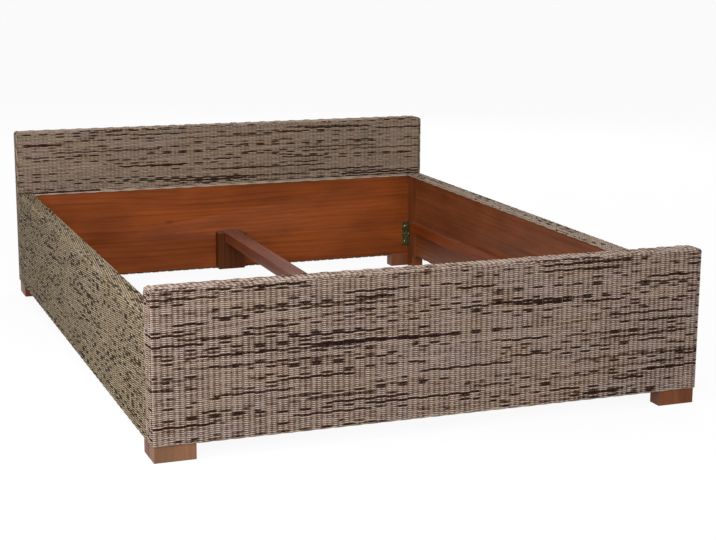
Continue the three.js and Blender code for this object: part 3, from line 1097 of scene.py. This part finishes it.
class Workshop:
    """What every sub-assembly needs: the trees, the finishes and a fixed seed for each piece."""

    STRAND_SIZES = ("depth", "wave", "taper", "waist", "dip", "spring", "unevenness", "wobble")
    FIRST_SEED = 100
    SEED_STEP = 7
    STAKE_SEED = 3.0
    TWIST_STEP = 9 * MM
    # The stakes' tone is darker than the strands': painted shade for the stakes deep in the gaps.
    STAKE_SHADE = (0.45, 0.3)
    BORDER_SPREAD = 0.4
    MERGE_DISTANCE = 0.01 * MM
    FLAT_ANGLE = math.radians(0.5)
    SHARP_ANGLE = math.radians(30)
    BOARD_SHIFT = 0.137

    def __init__(self) -> None:
        """Writes the trees and builds the finishes."""
        self.weave, self.twist, self.screw = WeaveTree(), TwistTree(), ScrewTree()
        self.finishes = {finish.name: finish.material() for finish in FINISHES}
        self.seed = self.FIRST_SEED

    def next_seed(self) -> int:
        """A new fixed seed."""
        self.seed += self.SEED_STEP
        return self.seed

    def place(self, piece: bpy.types.Object, body: str, slot: str, *nodes: str) -> None:
        """Joins a finished piece to the frame.

        Args:
            piece: The finished object.
            body: The body that it moves with.
            slot: Not used.
            nodes: The nodes that it stands for.
        """
        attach(piece, body)
        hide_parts(*nodes)
        triangles = sum(len(face.vertices) - 2 for face in piece.data.polygons)
        LOG.info("%s: %d triangles, on %s", piece.name, triangles, body)

    def panel(self, name: str, node: str, surface: Surface, finish: str, shades: Shades, parts: int = 1,
              shaper: Callable[[bpy.types.Object], None] | None = None, coarse: float = 1.0) -> None:
        """Weaves the strands of one surface.

        Args:
            name: The piece's name.
            node: The woven cover that it stands for.
            surface: Where the strands lie.
            finish: The cane finish's name.
            shades: How the shades vary.
            parts: How many pieces the panel is cut into, by rows.
            shaper: A function that moves the finished points, or None.
            coarse: How much broader than usual the strands are.
        """
        (start, end), (low, high) = surface.run, surface.rows
        pitch = CANE.row_pitch * coarse
        total = max(1, round((high - low) / pitch))
        share = 2 * math.ceil(total / (2 * parts))
        for part in range(parts):
            count = min(share, total - part * share)
            seed = self.next_seed()
            strands = self.weave.grow(name if parts == 1 else f"{name}_{part + 1}", surface.path, {
                **surface.inputs(), "Finish": self.finishes[finish], "Seed": float(seed),
                "Repeats": max(1, round((end - start) / CANE.repeat)), "Rows": count,
                "First Row": low + pitch * (0.5 + part * share), "Row Pitch": pitch,
                "Half Width": CANE.half_width * coarse, "Half Thickness": CANE.half_thickness,
                **{size.title(): getattr(CANE, size) for size in self.STRAND_SIZES},
            })
            StrandShader(strands, seed).natural((end - start) * count * pitch, shades)
            if shaper:
                shaper(strands)
            self.place(strands, FRAME_BODY, CANE_SLOT, node)

    def stakes(self, surface: Surface) -> bpy.types.Object:
        """The upright stakes that the strands pass over and under.

        Args:
            surface: The surface, crossed, so that its rows are the stakes.

        Returns:
            The stakes as one object.
        """
        low, high = surface.rows
        pitch = (high - low) / max(1, round((high - low) / CANE.repeat)) / 4
        stakes = self.weave.grow("stakes", surface.path, {
            **surface.inputs(), "Finish": self.finishes["cane_stakes"], "Repeats": 1,
            "First Row": low + pitch / 2, "Row Pitch": pitch, "Rows": round((high - low) / pitch),
            "Half Width": CANE.stake_half_width, "Half Thickness": CANE.stake_half_thickness,
            "Depth": CANE.stake_depth, "Side Start": low, "Side Length": high - low,
            "Side Wobble": CANE.wobble, "Seed": self.STAKE_SEED,
        })
        StrandShader(stakes, self.next_seed()).plain(*self.STAKE_SHADE)
        return stakes

    def shade_sheet(self, surface: Surface, start: float, end: float) -> bpy.types.Object:
        """A thin dark sheet behind a woven surface, whose colour paints the shade in the gaps of the weave.

        Args:
            surface: The surface.
            start: Where its sweep starts.
            end: Where it ends.

        Returns:
            A closed sheet behind the strands.
        """
        path, shape, rows = surface.path, bmesh.new(), []
        depths = (CANE.shade_sheet_depth, CANE.shade_sheet_depth + CANE.shade_sheet_thickness)
        for before, point, after in zip([path[0], *path], path, [*path[1:], path[-1]]):
            normal = (after - before).normalized().cross(surface.sweep).normalized()
            near_start, near_end, far_start, far_end = (
                shape.verts.new(point + surface.sweep * run - normal * depth)
                for depth in depths for run in (start, end))
            rows.append((near_start, near_end, far_end, far_start))
        for row, following in zip(rows, rows[1:]):
            for first, second in ((0, 1), (1, 2), (2, 3), (3, 0)):
                shape.faces.new((row[first], row[second], following[second], following[first]))
        shape.faces.new(rows[0])
        shape.faces.new(rows[-1][::-1])
        bmesh.ops.recalc_face_normals(shape, faces=shape.faces)
        return from_bmesh("shade_sheet", shape, self.finishes["shade_sheet"])

    def border(self, kind: Border, line: Sequence[Vector], plane: Vector) -> bpy.types.Object:
        """Two strands twisted along an edge.

        Args:
            kind: The kind of border.
            line: The line that they follow.
            plane: The normal of the plane that the line lies in.

        Returns:
            The border as one object.
        """
        pitch, radius, offset, start_turn, tone, second = kind.value
        length = path_length(line)
        border = self.twist.grow("border", line, {
            "Finish": self.finishes["cane_border"], "Plane Normal": plane, "Strands": 2,
            "Steps": max(4, round(length / self.TWIST_STEP)), "Radius": radius, "Offset": offset,
            "Turns": length / pitch, "Start Turn": start_turn, "Length": length,
        })
        StrandShader(border, self.next_seed()).plain(tone, self.BORDER_SPREAD, second)
        return border

    def board(self, node: str, finish: str, slot: str, body: str = FRAME_BODY, ease: float = 1.2 * MM,
              segments: int = 3, shortest: float = 12 * MM) -> None:
        """Stands a board or plate with eased edges in a node's place.

        Args:
            node: The node.
            finish: The finish's name.
            slot: Not used.
            body: The body that the board moves with.
            ease: How much its edges are rounded, in metres.
            segments: How many strips each rounded edge has.
            shortest: The length of the shortest edge that is rounded.
        """
        shape = bmesh.new()
        shape.from_mesh(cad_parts[node].data)
        bmesh.ops.remove_doubles(shape, verts=shape.verts, dist=self.MERGE_DISTANCE)
        bmesh.ops.dissolve_limit(shape, angle_limit=self.FLAT_ANGLE, verts=shape.verts, edges=shape.edges)
        bmesh.ops.recalc_face_normals(shape, faces=shape.faces)
        sharp = [edge for edge in shape.edges if edge.is_manifold
                 and edge.calc_face_angle() > self.SHARP_ANGLE and edge.calc_length() > shortest]
        wear, dust_and_painted_light, tag = (shape.faces.layers.float.new(name) for name in ("wear", "dust_and_painted_light", "board"))
        eased = bmesh.ops.bevel(
            shape, geom=sharp, offset=ease, segments=segments, profile=0.5, affect="EDGES")
        for face in eased["faces"]:
            face[wear] = 1.0
        shift = (sum(map(ord, node)) * self.BOARD_SHIFT) % 1.0
        for face in shape.faces:
            face[tag] = shift
            # How much a face looks up: the mask of the pale dusty colour that also paints top light.
            face[dust_and_painted_light] = max(face.normal.z, 0.0)
        self.place(from_bmesh(f"{node}_eased", shape, self.finishes[finish]), body, slot, node)


@dataclass
class WovenPart(ABC):
    """What the ends and the rails share: a woven cover round a wooden frame.

    Side is the way that the outer face looks, as 1 or -1: along the bed for an end and across it
    for a rail. Coarse is how much broader than usual the strands are.
    """

    name: str
    side: float
    cane: str
    shades: Shades
    coarse: float = 1.0
    edge_radius: float = 6 * MM
    border_inset: float = 3 * MM

    def __post_init__(self) -> None:
        """Reads the cover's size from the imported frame."""
        self.cover = f"{self.name}_woven_cover"
        self.low, self.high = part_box(self.cover)

    def build(self, shop: Workshop) -> None:
        """Makes all the pieces of this part.

        Args:
            shop: The workshop that makes the pieces.
        """
        self.weave_cover(shop)
        self.trim_edges(shop)
        self.dress_wood(shop)

    @abstractmethod
    def weave_cover(self, shop: Workshop) -> None:
        """Weaves the cover's surfaces, with the stakes and the dark sheets of painted shade behind them."""

    @abstractmethod
    def trim_edges(self, shop: Workshop) -> None:
        """Twists the borders along the cover's edges."""

    @abstractmethod
    def dress_wood(self, shop: Workshop) -> None:
        """Gives the wooden pieces their finishes."""

    def weave(self, shop: Workshop, piece: str, surface: Surface, parts: int = 1,
              shaper: Callable[[bpy.types.Object], None] | None = None) -> None:
        """Weaves the strands of one surface as the workshop's panel does."""
        name = f"{self.name}_{piece}"
        shop.panel(name, self.cover, surface, self.cane, self.shades, parts, shaper, self.coarse)

    def keep(self, shop: Workshop, piece: str, shapes: list[bpy.types.Object]) -> None:
        """Joins stakes, borders and the dark sheets of painted shade into one piece of the cover."""
        shop.place(joined(f"{self.name}_{piece}", shapes), FRAME_BODY, CANE_SLOT, self.cover)


@dataclass
class BedEnd(WovenPart):
    """The head end or the foot end: woven cover, posts, bars and inner plank.

    Dark_cap is how far the burnt strand on the plank reaches from the left.
    """

    corner_radius: float = 12 * MM
    edge_inset: float = 5 * MM
    edge_rows: int = 3
    rail_lip: float = 0.770
    dark_cap: float = -0.770
    seam_rise: float = 2.6 * MM
    cap_rise: float = 8.2 * MM
    stake_drop: float = 8 * MM
    shade_sheet_drop: float = 22 * MM

    def __post_init__(self) -> None:
        """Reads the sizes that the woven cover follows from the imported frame."""
        super().__post_init__()
        self.inner, self.outer = (self.side * y for y in sorted((abs(self.low.y), abs(self.high.y))))
        self.half = self.high.x
        self.plank_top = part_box(f"{self.name}_plank")[1].z
        self.rail_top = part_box("left_rail_woven_cover")[1].z
        self.foot_inner = min(abs(corner.x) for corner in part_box(f"{self.name}_left_post"))

    def wrap(self, inset: float = 0.0) -> list[Vector]:
        """The outer skin's path in plan: one side, the outer face and the other side.

        Args:
            inset: How far it is drawn in.

        Returns:
            The points of the rounded path.
        """
        start = self.side * (self.half - inset)
        inner, outer = self.inner + self.side * inset, self.outer - self.side * inset
        corners = ((start, inner), (start, outer), (-start, outer), (-start, inner))
        return rounded([Vector((x, y, 0)) for x, y in corners], [self.edge_radius] * 2)

    def top_path(self, inset: float = 0.0) -> list[Vector]:
        """The line over the rounded top, from one side to the other.

        Args:
            inset: How far inside the outer surface the line lies.

        Returns:
            Its points, at a depth of zero across the end.
        """
        half, top, radius = self.half - inset, self.high.z - inset, self.corner_radius - inset
        corners = ((-half, top - radius), (-half, top), (half, top), (half, top - radius))
        return rounded([Vector((x, 0, z)) for x, z in corners], [radius] * 2, 10)

    def narrow_at_corners(self, piece: bpy.types.Object) -> None:
        """Draws the uppermost strands of a piece in, to follow the rounded top corners.

        Args:
            piece: The strands, whose points it moves.
        """
        flat = np.empty(len(piece.data.vertices) * 3, np.float32)
        piece.data.vertices.foreach_get("co", flat)
        points = flat.reshape(-1, 3)
        rise = np.clip(points[:, 2] - (self.high.z - self.corner_radius), 0, self.corner_radius * 0.985)
        drawn = self.corner_radius - np.sqrt(self.corner_radius ** 2 - rise ** 2)
        points[:, 0] *= 1 - drawn / self.half
        piece.data.vertices.foreach_set("co", points.ravel())

    def weave_cover(self, shop: Workshop) -> None:
        """Weaves the outer skin, the top, the inner face, the upper edges and the underside.

        Args:
            shop: The workshop that makes the pieces.
        """
        wrap, crown, inset = self.wrap(), self.top_path(), self.edge_inset
        length, width = path_length(wrap), 2 * self.half
        bottom, top = self.low.z + self.border_inset, self.high.z - inset
        turn = path_length(wrap[:2]) + self.edge_radius * math.pi / 4
        trim = self.corner_radius * math.pi / 4
        outer = Surface(wrap, UP, (0.0, length), (bottom, top), corners=(turn, length - turn))
        over = Surface(crown, REAR, (trim, path_length(crown) - trim),
                       (self.low.y + inset, self.high.y - inset))
        face = Surface([Vector((x, self.inner, 0)) for x in (-self.side * self.half, self.side * self.half)],
                       UP, (0.0, width), (self.rail_top + 1 * MM, top))
        under = Surface([Vector((x, 0, self.low.z)) for x in (-self.foot_inner, self.foot_inner)],
                        -REAR, (0.0, 2 * self.foot_inner), (inset - self.high.y, -self.low.y - inset))
        self.weave(shop, "outer_weave", outer, 2, self.narrow_at_corners)
        self.weave(shop, "top_weave", over)
        self.weave(shop, "inner_weave", face, 1, self.narrow_at_corners)

        bulge = self.edge_radius * (1 - math.sqrt(0.5))
        spread = self.edge_rows * CANE.row_pitch / 2
        for name, y, facing in (("outer_edge", self.outer, self.side),
                                ("inner_edge", self.inner, -self.side)):
            edge = [point + Vector((0, y - facing * bulge, 0)) for point in self.top_path(bulge)]
            sweep = Vector((0, 1, -facing)).normalized()
            self.weave(shop, name, Surface(edge, sweep, (0.0, path_length(edge)), (-spread, spread)))
        self.weave(shop, "under_weave", under)

        backs = [shop.stakes(outer.crossed((bottom, top - self.stake_drop))),
                 shop.stakes(face.crossed((self.plank_top + 2 * MM, top - self.stake_drop)))]
        for back in backs:
            self.narrow_at_corners(back)
        shade_sheet_top = self.high.z - self.shade_sheet_drop
        # The stakes piece also holds dark sheets whose colour is painted shade, seen through the gaps in the
        # weave.
        self.keep(shop, "stakes", [
            *backs, shop.stakes(over.crossed()), shop.stakes(under.crossed()),
            shop.shade_sheet(under, *under.rows),
            shop.shade_sheet(outer, self.low.z + inset, shade_sheet_top),
            shop.shade_sheet(face, self.plank_top + 1 * MM, shade_sheet_top),
            shop.shade_sheet(over, *over.rows),
        ])

    def trim_edges(self, shop: Workshop) -> None:
        """Twists the border strands along the edges.

        Args:
            shop: The workshop that makes the pieces.
        """
        inset = self.border_inset
        inner = self.inner + self.side * inset * 0.7
        rim_x, lip = self.half - inset * 0.7, self.rail_lip
        seam, cap = self.plank_top + self.seam_rise, self.plank_top + self.cap_rise
        rims = [[Vector((side * rim_x, inner, z))
                 for z in (self.rail_top + 2 * MM, self.high.z - self.corner_radius)] for side in (-1, 1)]
        hem = [point + UP * (self.low.z + inset) for point in self.wrap(inset * 0.8)]
        lines = [(Border.SIDE_RIM, rims[0], REAR), (Border.SIDE_RIM, rims[1], REAR), (Border.HEM, hem, UP)]
        for kind, start, end, z in ((Border.PLANK_SEAM, -lip, lip, seam),
                                    (Border.BURNT_CAP, -lip, self.dark_cap, cap),
                                    (Border.PALE_CAP, self.dark_cap, lip, cap)):
            if end > start:
                lines.append((kind, [Vector((x, inner, z)) for x in (start, end)], REAR))
        self.keep(shop, "borders", [shop.border(*line) for line in lines])

    def dress_wood(self, shop: Workshop) -> None:
        """Gives the posts, bars, stile and plank their finished wood.

        Args:
            shop: The workshop that makes the pieces.
        """
        for side in ("left", "right"):
            shop.board(f"{self.name}_{side}_post", f"{side}_post", "post_wood", ease=2 * MM)
        shop.board(f"{self.name}_plank", "end_plank", "plank_wood")
        for bar in ("top_bar", "middle_bar", "bottom_bar"):
            shop.board(f"{self.name}_{bar}", "frame_crosswise", "frame_wood")
        shop.board(f"{self.name}_centre_stile", "frame_upright", "frame_wood")


@dataclass
class SideRail(WovenPart):
    """One side rail: woven cover, stiles, battens, inner board and ledger."""

    coarse: float = 1.18
    lip_radius: float = 4 * MM
    lip_depth: float = 10 * MM
    lip_rise: float = 2.2 * MM

    def __post_init__(self) -> None:
        """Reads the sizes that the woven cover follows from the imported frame."""
        super().__post_init__()
        self.inner, self.outer = (self.side * x for x in sorted((abs(self.low.x), abs(self.high.x))))
        self.board_back = self.side * max(abs(corner.x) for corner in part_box(f"{self.name}_board"))
        self.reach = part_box(f"{self.name}_rear_stile")[0].y
        self.lip_bottom = self.high.z - self.lip_depth

    def profile(self) -> list[Vector]:
        """The path of the skin across the rail: outer face, top and inner lip.

        Returns:
            The points of the rounded path.
        """
        start = self.high.y if self.side > 0 else self.low.y
        corners = ((self.outer, self.low.z), (self.outer, self.high.z), (self.inner, self.high.z),
                   (self.inner, self.lip_bottom))
        return rounded([Vector((x, start, z)) for x, z in corners], [self.edge_radius, self.lip_radius])

    def weave_cover(self, shop: Workshop) -> None:
        """Weaves the outer face, top and lip as one skin, and the underside.

        Args:
            shop: The workshop that makes the pieces.
        """
        path, inset, span = self.profile(), self.border_inset, self.high.y - self.low.y
        skin = Surface(path, -self.side * REAR, (inset, span - inset),
                       (inset, path_length(path) - inset), False)
        inner, outer = sorted((self.board_back, self.outer - self.side * inset))
        under = Surface([Vector((0, y, self.low.z)) for y in (-self.reach, self.reach)],
                        RIGHT, (0.0, 2 * self.reach), (inner, outer))
        self.weave(shop, "weave", skin, 2)
        self.weave(shop, "under_weave", under)
        outer_top, top_start, top_end = (
            path_length(path[:count]) for count in (2, ARC_STEPS + 2, ARC_STEPS + 3))
        # The stakes piece also holds dark sheets whose colour is painted shade, seen through the gaps in the
        # weave.
        self.keep(shop, "stakes", [
            shop.stakes(skin.crossed((2 * MM, outer_top))),
            shop.stakes(skin.crossed((top_start, top_end))),
            shop.stakes(under.crossed()),
            shop.shade_sheet(skin, inset, span - inset),
            shop.shade_sheet(under, inner, outer),
        ])

    def trim_edges(self, shop: Workshop) -> None:
        """Twists the border strands along the hem, the lip and both ends.

        Args:
            shop: The workshop that makes the pieces.
        """
        low, high, inset = self.low, self.high, self.border_inset
        outer, lip = self.outer - self.side * inset * 0.8, self.inner + self.side * inset * 0.7
        lines = [
            (Border.RAIL_HEM, [Vector((outer, y, low.z + inset)) for y in (low.y, high.y)], UP),
            (Border.RAIL_LIP,
             [Vector((lip, y, self.lip_bottom + self.lip_rise)) for y in (low.y, high.y)], UP),
            *((Border.RAIL_END, [Vector((outer, y, z)) for z in (low.z + 1 * MM, high.z - 3 * MM)], REAR)
              for y in (low.y + inset * 0.9, high.y - inset * 0.9)),
        ]
        self.keep(shop, "borders", [shop.border(*line) for line in lines])

    def dress_wood(self, shop: Workshop) -> None:
        """Gives the stiles, battens, board and ledger their finished wood.

        Args:
            shop: The workshop that makes the pieces.
        """
        for end in ("front", "rear"):
            shop.board(f"{self.name}_{end}_stile", "stile_upright", "post_wood", ease=1.5 * MM)
        shop.board(f"{self.name}_board", "rail_board", "board_wood")
        shop.board(f"{self.name}_ledger", "rail_ledger", "ledger_wood", ease=2 * MM)
        for batten in ("top_batten", "bottom_batten"):
            shop.board(f"{self.name}_{batten}", "frame_lengthwise", "frame_wood")
        shop.board(f"{self.name}_strut", "frame_upright", "frame_wood")


@dataclass
class CentreSupport:
    """The loose centre beam, its leg and the two sockets that hold it."""

    ease: float = 2 * MM

    def build(self, shop: Workshop) -> None:
        """Makes the beam, the leg and the sockets.

        Args:
            shop: The workshop that makes the pieces.
        """
        shop.board("centre_beam", "beam_lengthwise", "beam_wood", BEAM_BODY, self.ease)
        shop.board("centre_leg", "frame_upright", "beam_wood", BEAM_BODY, self.ease)
        for end in ("head", "foot"):
            for block in ("left_cheek", "right_cheek", "seat_block"):
                shop.board(f"{end}_socket_{block}", "socket_upright", "frame_wood")


@dataclass
class CornerBrackets:
    """The angle brackets, and all their screws as one piece."""

    ease: float = 0.4 * MM
    shortest_eased: float = 2 * MM
    head_radius: float = 4.5 * MM
    head_height: float = 2.5 * MM
    shank_radius: float = 2 * MM
    shank_length: float = 16 * MM
    recess_length: float = 5 * MM
    recess_width: float = 1.1 * MM
    recess_depth: float = 1.5 * MM

    SPIN_SEED = 5

    def build(self, shop: Workshop) -> None:
        """Makes the brackets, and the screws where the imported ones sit.

        Args:
            shop: The workshop that makes the pieces.
        """
        corners = [f"{end}_{side}" for end in ("front", "rear") for side in ("left", "right")]
        for corner in corners:
            shop.board(f"{corner}_bracket", "bracket_plate", "bracket_metal", FRAME_BODY, self.ease, 2,
                       self.shortest_eased)
        nodes = [f"{corner}_{screw}" for corner in corners
                 for screw in ("plank_screw_1", "plank_screw_2", "rail_screw")]
        seats, facings = zip(*map(self.seat, nodes))
        screws = shop.screw.grow("bracket_screws", seats, {
            "Finish": shop.finishes["screw_plate"], "Seed": self.SPIN_SEED,
            **{size: getattr(self, size.lower().replace(" ", "_")) for size in ScrewTree.SIZES.split(", ")},
        }, facings)
        shop.place(screws, FRAME_BODY, "screw_metal", *nodes)

    def seat(self, node: str) -> tuple[Vector, Vector]:
        """Finds how a screw sits on its bracket.

        Args:
            node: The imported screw.

        Returns:
            Where its head sits, and the way that the head faces.
        """
        low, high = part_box(node)
        size, middle = high - low, (low + high) / 2
        axis = max(range(3), key=lambda index: size[index])
        facing = Vector((0, 0, 0))
        facing[axis] = -math.copysign(1.0, middle[axis])
        return middle + facing * (size[axis] / 2 - self.head_height), facing


@dataclass
class Studio:
    """The floor, the lamps, the world and the camera."""

    floor_size: float = 60.0
    floor_seen: float = 0.95
    floor_bounce: float = 0.3
    floor_glow: float = 0.9
    floor_roughness: float = 0.9
    world_fill: float = 0.565
    lamp_aim: tuple[float, float, float] = (0.0, 0.0, 0.3)
    camera_place: tuple[float, float, float] = (-1.7343, -4.9731, 1.3775)
    yaw: float = 0.364272
    pitch: float = 0.212090
    roll: float = 0.005253
    focal_length: float = 79.8459
    sensor: float = 36.0

    def build(self) -> None:
        """Sets the scene up round the bed."""
        bpy.context.scene.view_settings.view_transform = "Standard"
        self.floor()
        self.world()
        self.lamp("key", (-2.2, -6.4, 3.7), 3.4, 355.0)
        self.lamp("near_fill", (-2.2, -1.2, 1.3), 1.0, 31.0)
        self.lamp("overhead", (-0.5, -0.4, 3.4), 3.0, 8.0)
        self.lamp("back_fill", (2.8, 4.8, 3.0), 3.0, 75.0)
        self.camera()

    def backdrop_share(self, writer: TreeWriter) -> Value:
        """One for rays that see the backdrop straight, in gloss or through glass.

        Args:
            writer: The tree that asks.

        Returns:
            The share of the backdrop's seen look.
        """
        rays = writer.outputs("ShaderNodeLightPath")
        seen = writer.math("MAXIMUM", rays["Is Camera Ray"], rays["Is Glossy Ray"])
        return writer.math("MAXIMUM", seen, rays["Is Transmission Ray"])

    def floor(self) -> None:
        """A plain white floor that keeps the bed's shadow."""
        shape = bmesh.new()
        bmesh.ops.create_grid(shape, x_segments=1, y_segments=1, size=self.floor_size / 2)
        w = ShaderWriter("studio_floor")
        seen = self.backdrop_share(w)
        pale = seen * (self.floor_seen - self.floor_bounce) + self.floor_bounce
        w.feed(w.shader.inputs["Base Color"], w.combine(pale, pale, pale))
        w.feed(w.shader.inputs["Roughness"], self.floor_roughness)
        glow = w.node("ShaderNodeEmission", {"Color": WHITE, "Strength": 1.0})
        lit = Value(w, w.shader.outputs[0])
        blend = w.node("ShaderNodeMixShader", {0: seen * self.floor_glow, 1: lit, 2: glow})
        w.feed(w.tree.nodes["Material Output"].inputs[0], blend)
        from_bmesh("studio_floor", shape, w.material)

    def world(self) -> None:
        """White where it is seen, and a soft even fill where it lights."""
        world = bpy.data.worlds.new("studio_world")
        world.use_nodes = True
        bpy.context.scene.world = world
        writer = TreeWriter(world.node_tree)
        back = world.node_tree.nodes["Background"]
        strength = self.backdrop_share(writer) * (1.0 - self.world_fill) + self.world_fill
        writer.feed(back.inputs["Color"], WHITE)
        writer.feed(back.inputs["Strength"], strength)

    def lamp(self, name: str, place: tuple[float, float, float], size: float, power: float) -> None:
        """A square soft lamp that faces the middle of the bed.

        Args:
            name: The lamp's name.
            place: Where it hangs.
            size: The length of its side.
            power: Its power in watts.
        """
        light = bpy.data.lights.new(name, "AREA")
        light.shape, light.size, light.energy = "SQUARE", size, power
        lamp = linked(name, light)
        lamp.location = place
        lamp.rotation_euler = (Vector(self.lamp_aim) - lamp.location).to_track_quat("-Z", "Y").to_euler()

    def camera(self) -> None:
        """The camera at the photograph's viewpoint."""
        sin, cos = math.sin, math.cos
        ahead = Vector((sin(self.yaw) * cos(self.pitch), cos(self.yaw) * cos(self.pitch), -sin(self.pitch)))
        level = Vector((cos(self.yaw), -sin(self.yaw), 0.0))
        above = level.cross(ahead)
        right = level * cos(self.roll) + above * sin(self.roll)
        up = above * cos(self.roll) - level * sin(self.roll)
        data = bpy.data.cameras.new("camera")
        data.sensor_width, data.lens = self.sensor, self.focal_length
        eye = linked("camera", data)
        turn = Matrix((right, up, -ahead)).transposed().to_4x4()
        eye.matrix_world = Matrix.Translation(self.camera_place) @ turn
        bpy.context.scene.camera = eye


HIDDEN_WOOD = ((110, 70, 48), (92, 55, 37), (58, 33, 23), (132, 92, 68), 1.0, 0.6)
FINISHES = (
    WoodFinish("end_plank", Grain.ALONG_X, (127, 63, 25), (110, 50, 16), (72, 28, 8), (139, 79, 36)),
    WoodFinish("rail_board", Grain.ALONG_Y, (114, 61, 32), (99, 50, 24), (71, 33, 14), (130, 80, 47), 0.7),
    WoodFinish("rail_ledger", Grain.ALONG_Y, (117, 53, 15), (100, 41, 10), (68, 26, 5), (131, 63, 21)),
    WoodFinish("beam_lengthwise", Grain.ALONG_Y, (115, 60, 38), (99, 49, 29), (68, 31, 16), (132, 75, 50)),
    WoodFinish("stile_upright", Grain.ALONG_Z, (114, 62, 34), (98, 48, 23), (64, 29, 14), (132, 80, 49)),
    WoodFinish("left_post", Grain.ALONG_Z, (132, 95, 70), (118, 80, 56), (86, 55, 37), (142, 106, 82), 0.4),
    WoodFinish("right_post", Grain.ALONG_Z, (113, 67, 42), (100, 56, 33), (73, 37, 20), (125, 78, 52), 0.4),
    WoodFinish("socket_upright", Grain.ALONG_Z, (81, 40, 13), (67, 30, 8), (43, 18, 4), (97, 52, 19)),
    WoodFinish("frame_upright", Grain.ALONG_Z, *HIDDEN_WOOD),
    WoodFinish("frame_crosswise", Grain.ALONG_X, *HIDDEN_WOOD),
    WoodFinish("frame_lengthwise", Grain.ALONG_Y, *HIDDEN_WOOD),
    CaneFinish("cane_ends", (182, 166, 158), (167, 149, 138), (108, 86, 72), (34, 14, 5)),
    # A darker copy of the ends' cane: painted shade for the head, which stands farther from the key lamp, and
    # for the right rail.
    CaneFinish("cane_shaded", (166, 149, 137), (151, 134, 119), (97, 77, 62), (34, 14, 5), band_shade=0.2),
    # Tinted olive against the ends' cane: the painted colour of the soft ambient light on the left rail's
    # side.
    CaneFinish("cane_rails", (175, 163, 142), (146, 133, 109), (96, 78, 56), (30, 16, 6)),
    CaneFinish("cane_border", (167, 152, 136), (139, 124, 107), (90, 72, 58), (30, 19, 11)),
    # Darker than the strands' cane: painted shade for the stakes seen deep in the gaps.
    CaneFinish("cane_stakes", (150, 136, 125), (128, 113, 101), (86, 70, 58), (36, 25, 16), 0.0),
    # A dark sheet of painted shade behind the weave.
    ShadeSheetFinish("shade_sheet", (34, 25, 19)),
    PlatedFinish("bracket_plate", (106, 101, 62), (34, 29, 18), 0.45),
    PlatedFinish("screw_plate", (158, 156, 108), (96, 92, 58), 0.35),
)
# The head's plain tone is darker than the ends': painted shade, as the head stands farther from the key lamp.
HEAD_SHADES = Shades(density=450.0, plain=0.3, spread=0.24, reach=1.3)
RAIL_SHADES = Shades(density=1150.0, spread=0.3, hue=0.3, wavy=0.04, hidden=0.95, reach=0.5)


def main() -> None:
    """Builds the bed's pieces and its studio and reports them."""
    logging.basicConfig(level=logging.INFO, format="%(name)s: %(message)s")
    Studio().build()
    shop = Workshop()
    BedEnd("foot", -1.0, "cane_ends", Shades()).build(shop)
    BedEnd("head", 1.0, "cane_shaded", HEAD_SHADES, dark_cap=-0.51).build(shop)
    SideRail("left_rail", -1.0, "cane_rails", RAIL_SHADES).build(shop)
    SideRail("right_rail", 1.0, "cane_shaded", RAIL_SHADES).build(shop)
    CentreSupport().build(shop)
    CornerBrackets().build(shop)


if __name__ == "__main__":
    main()
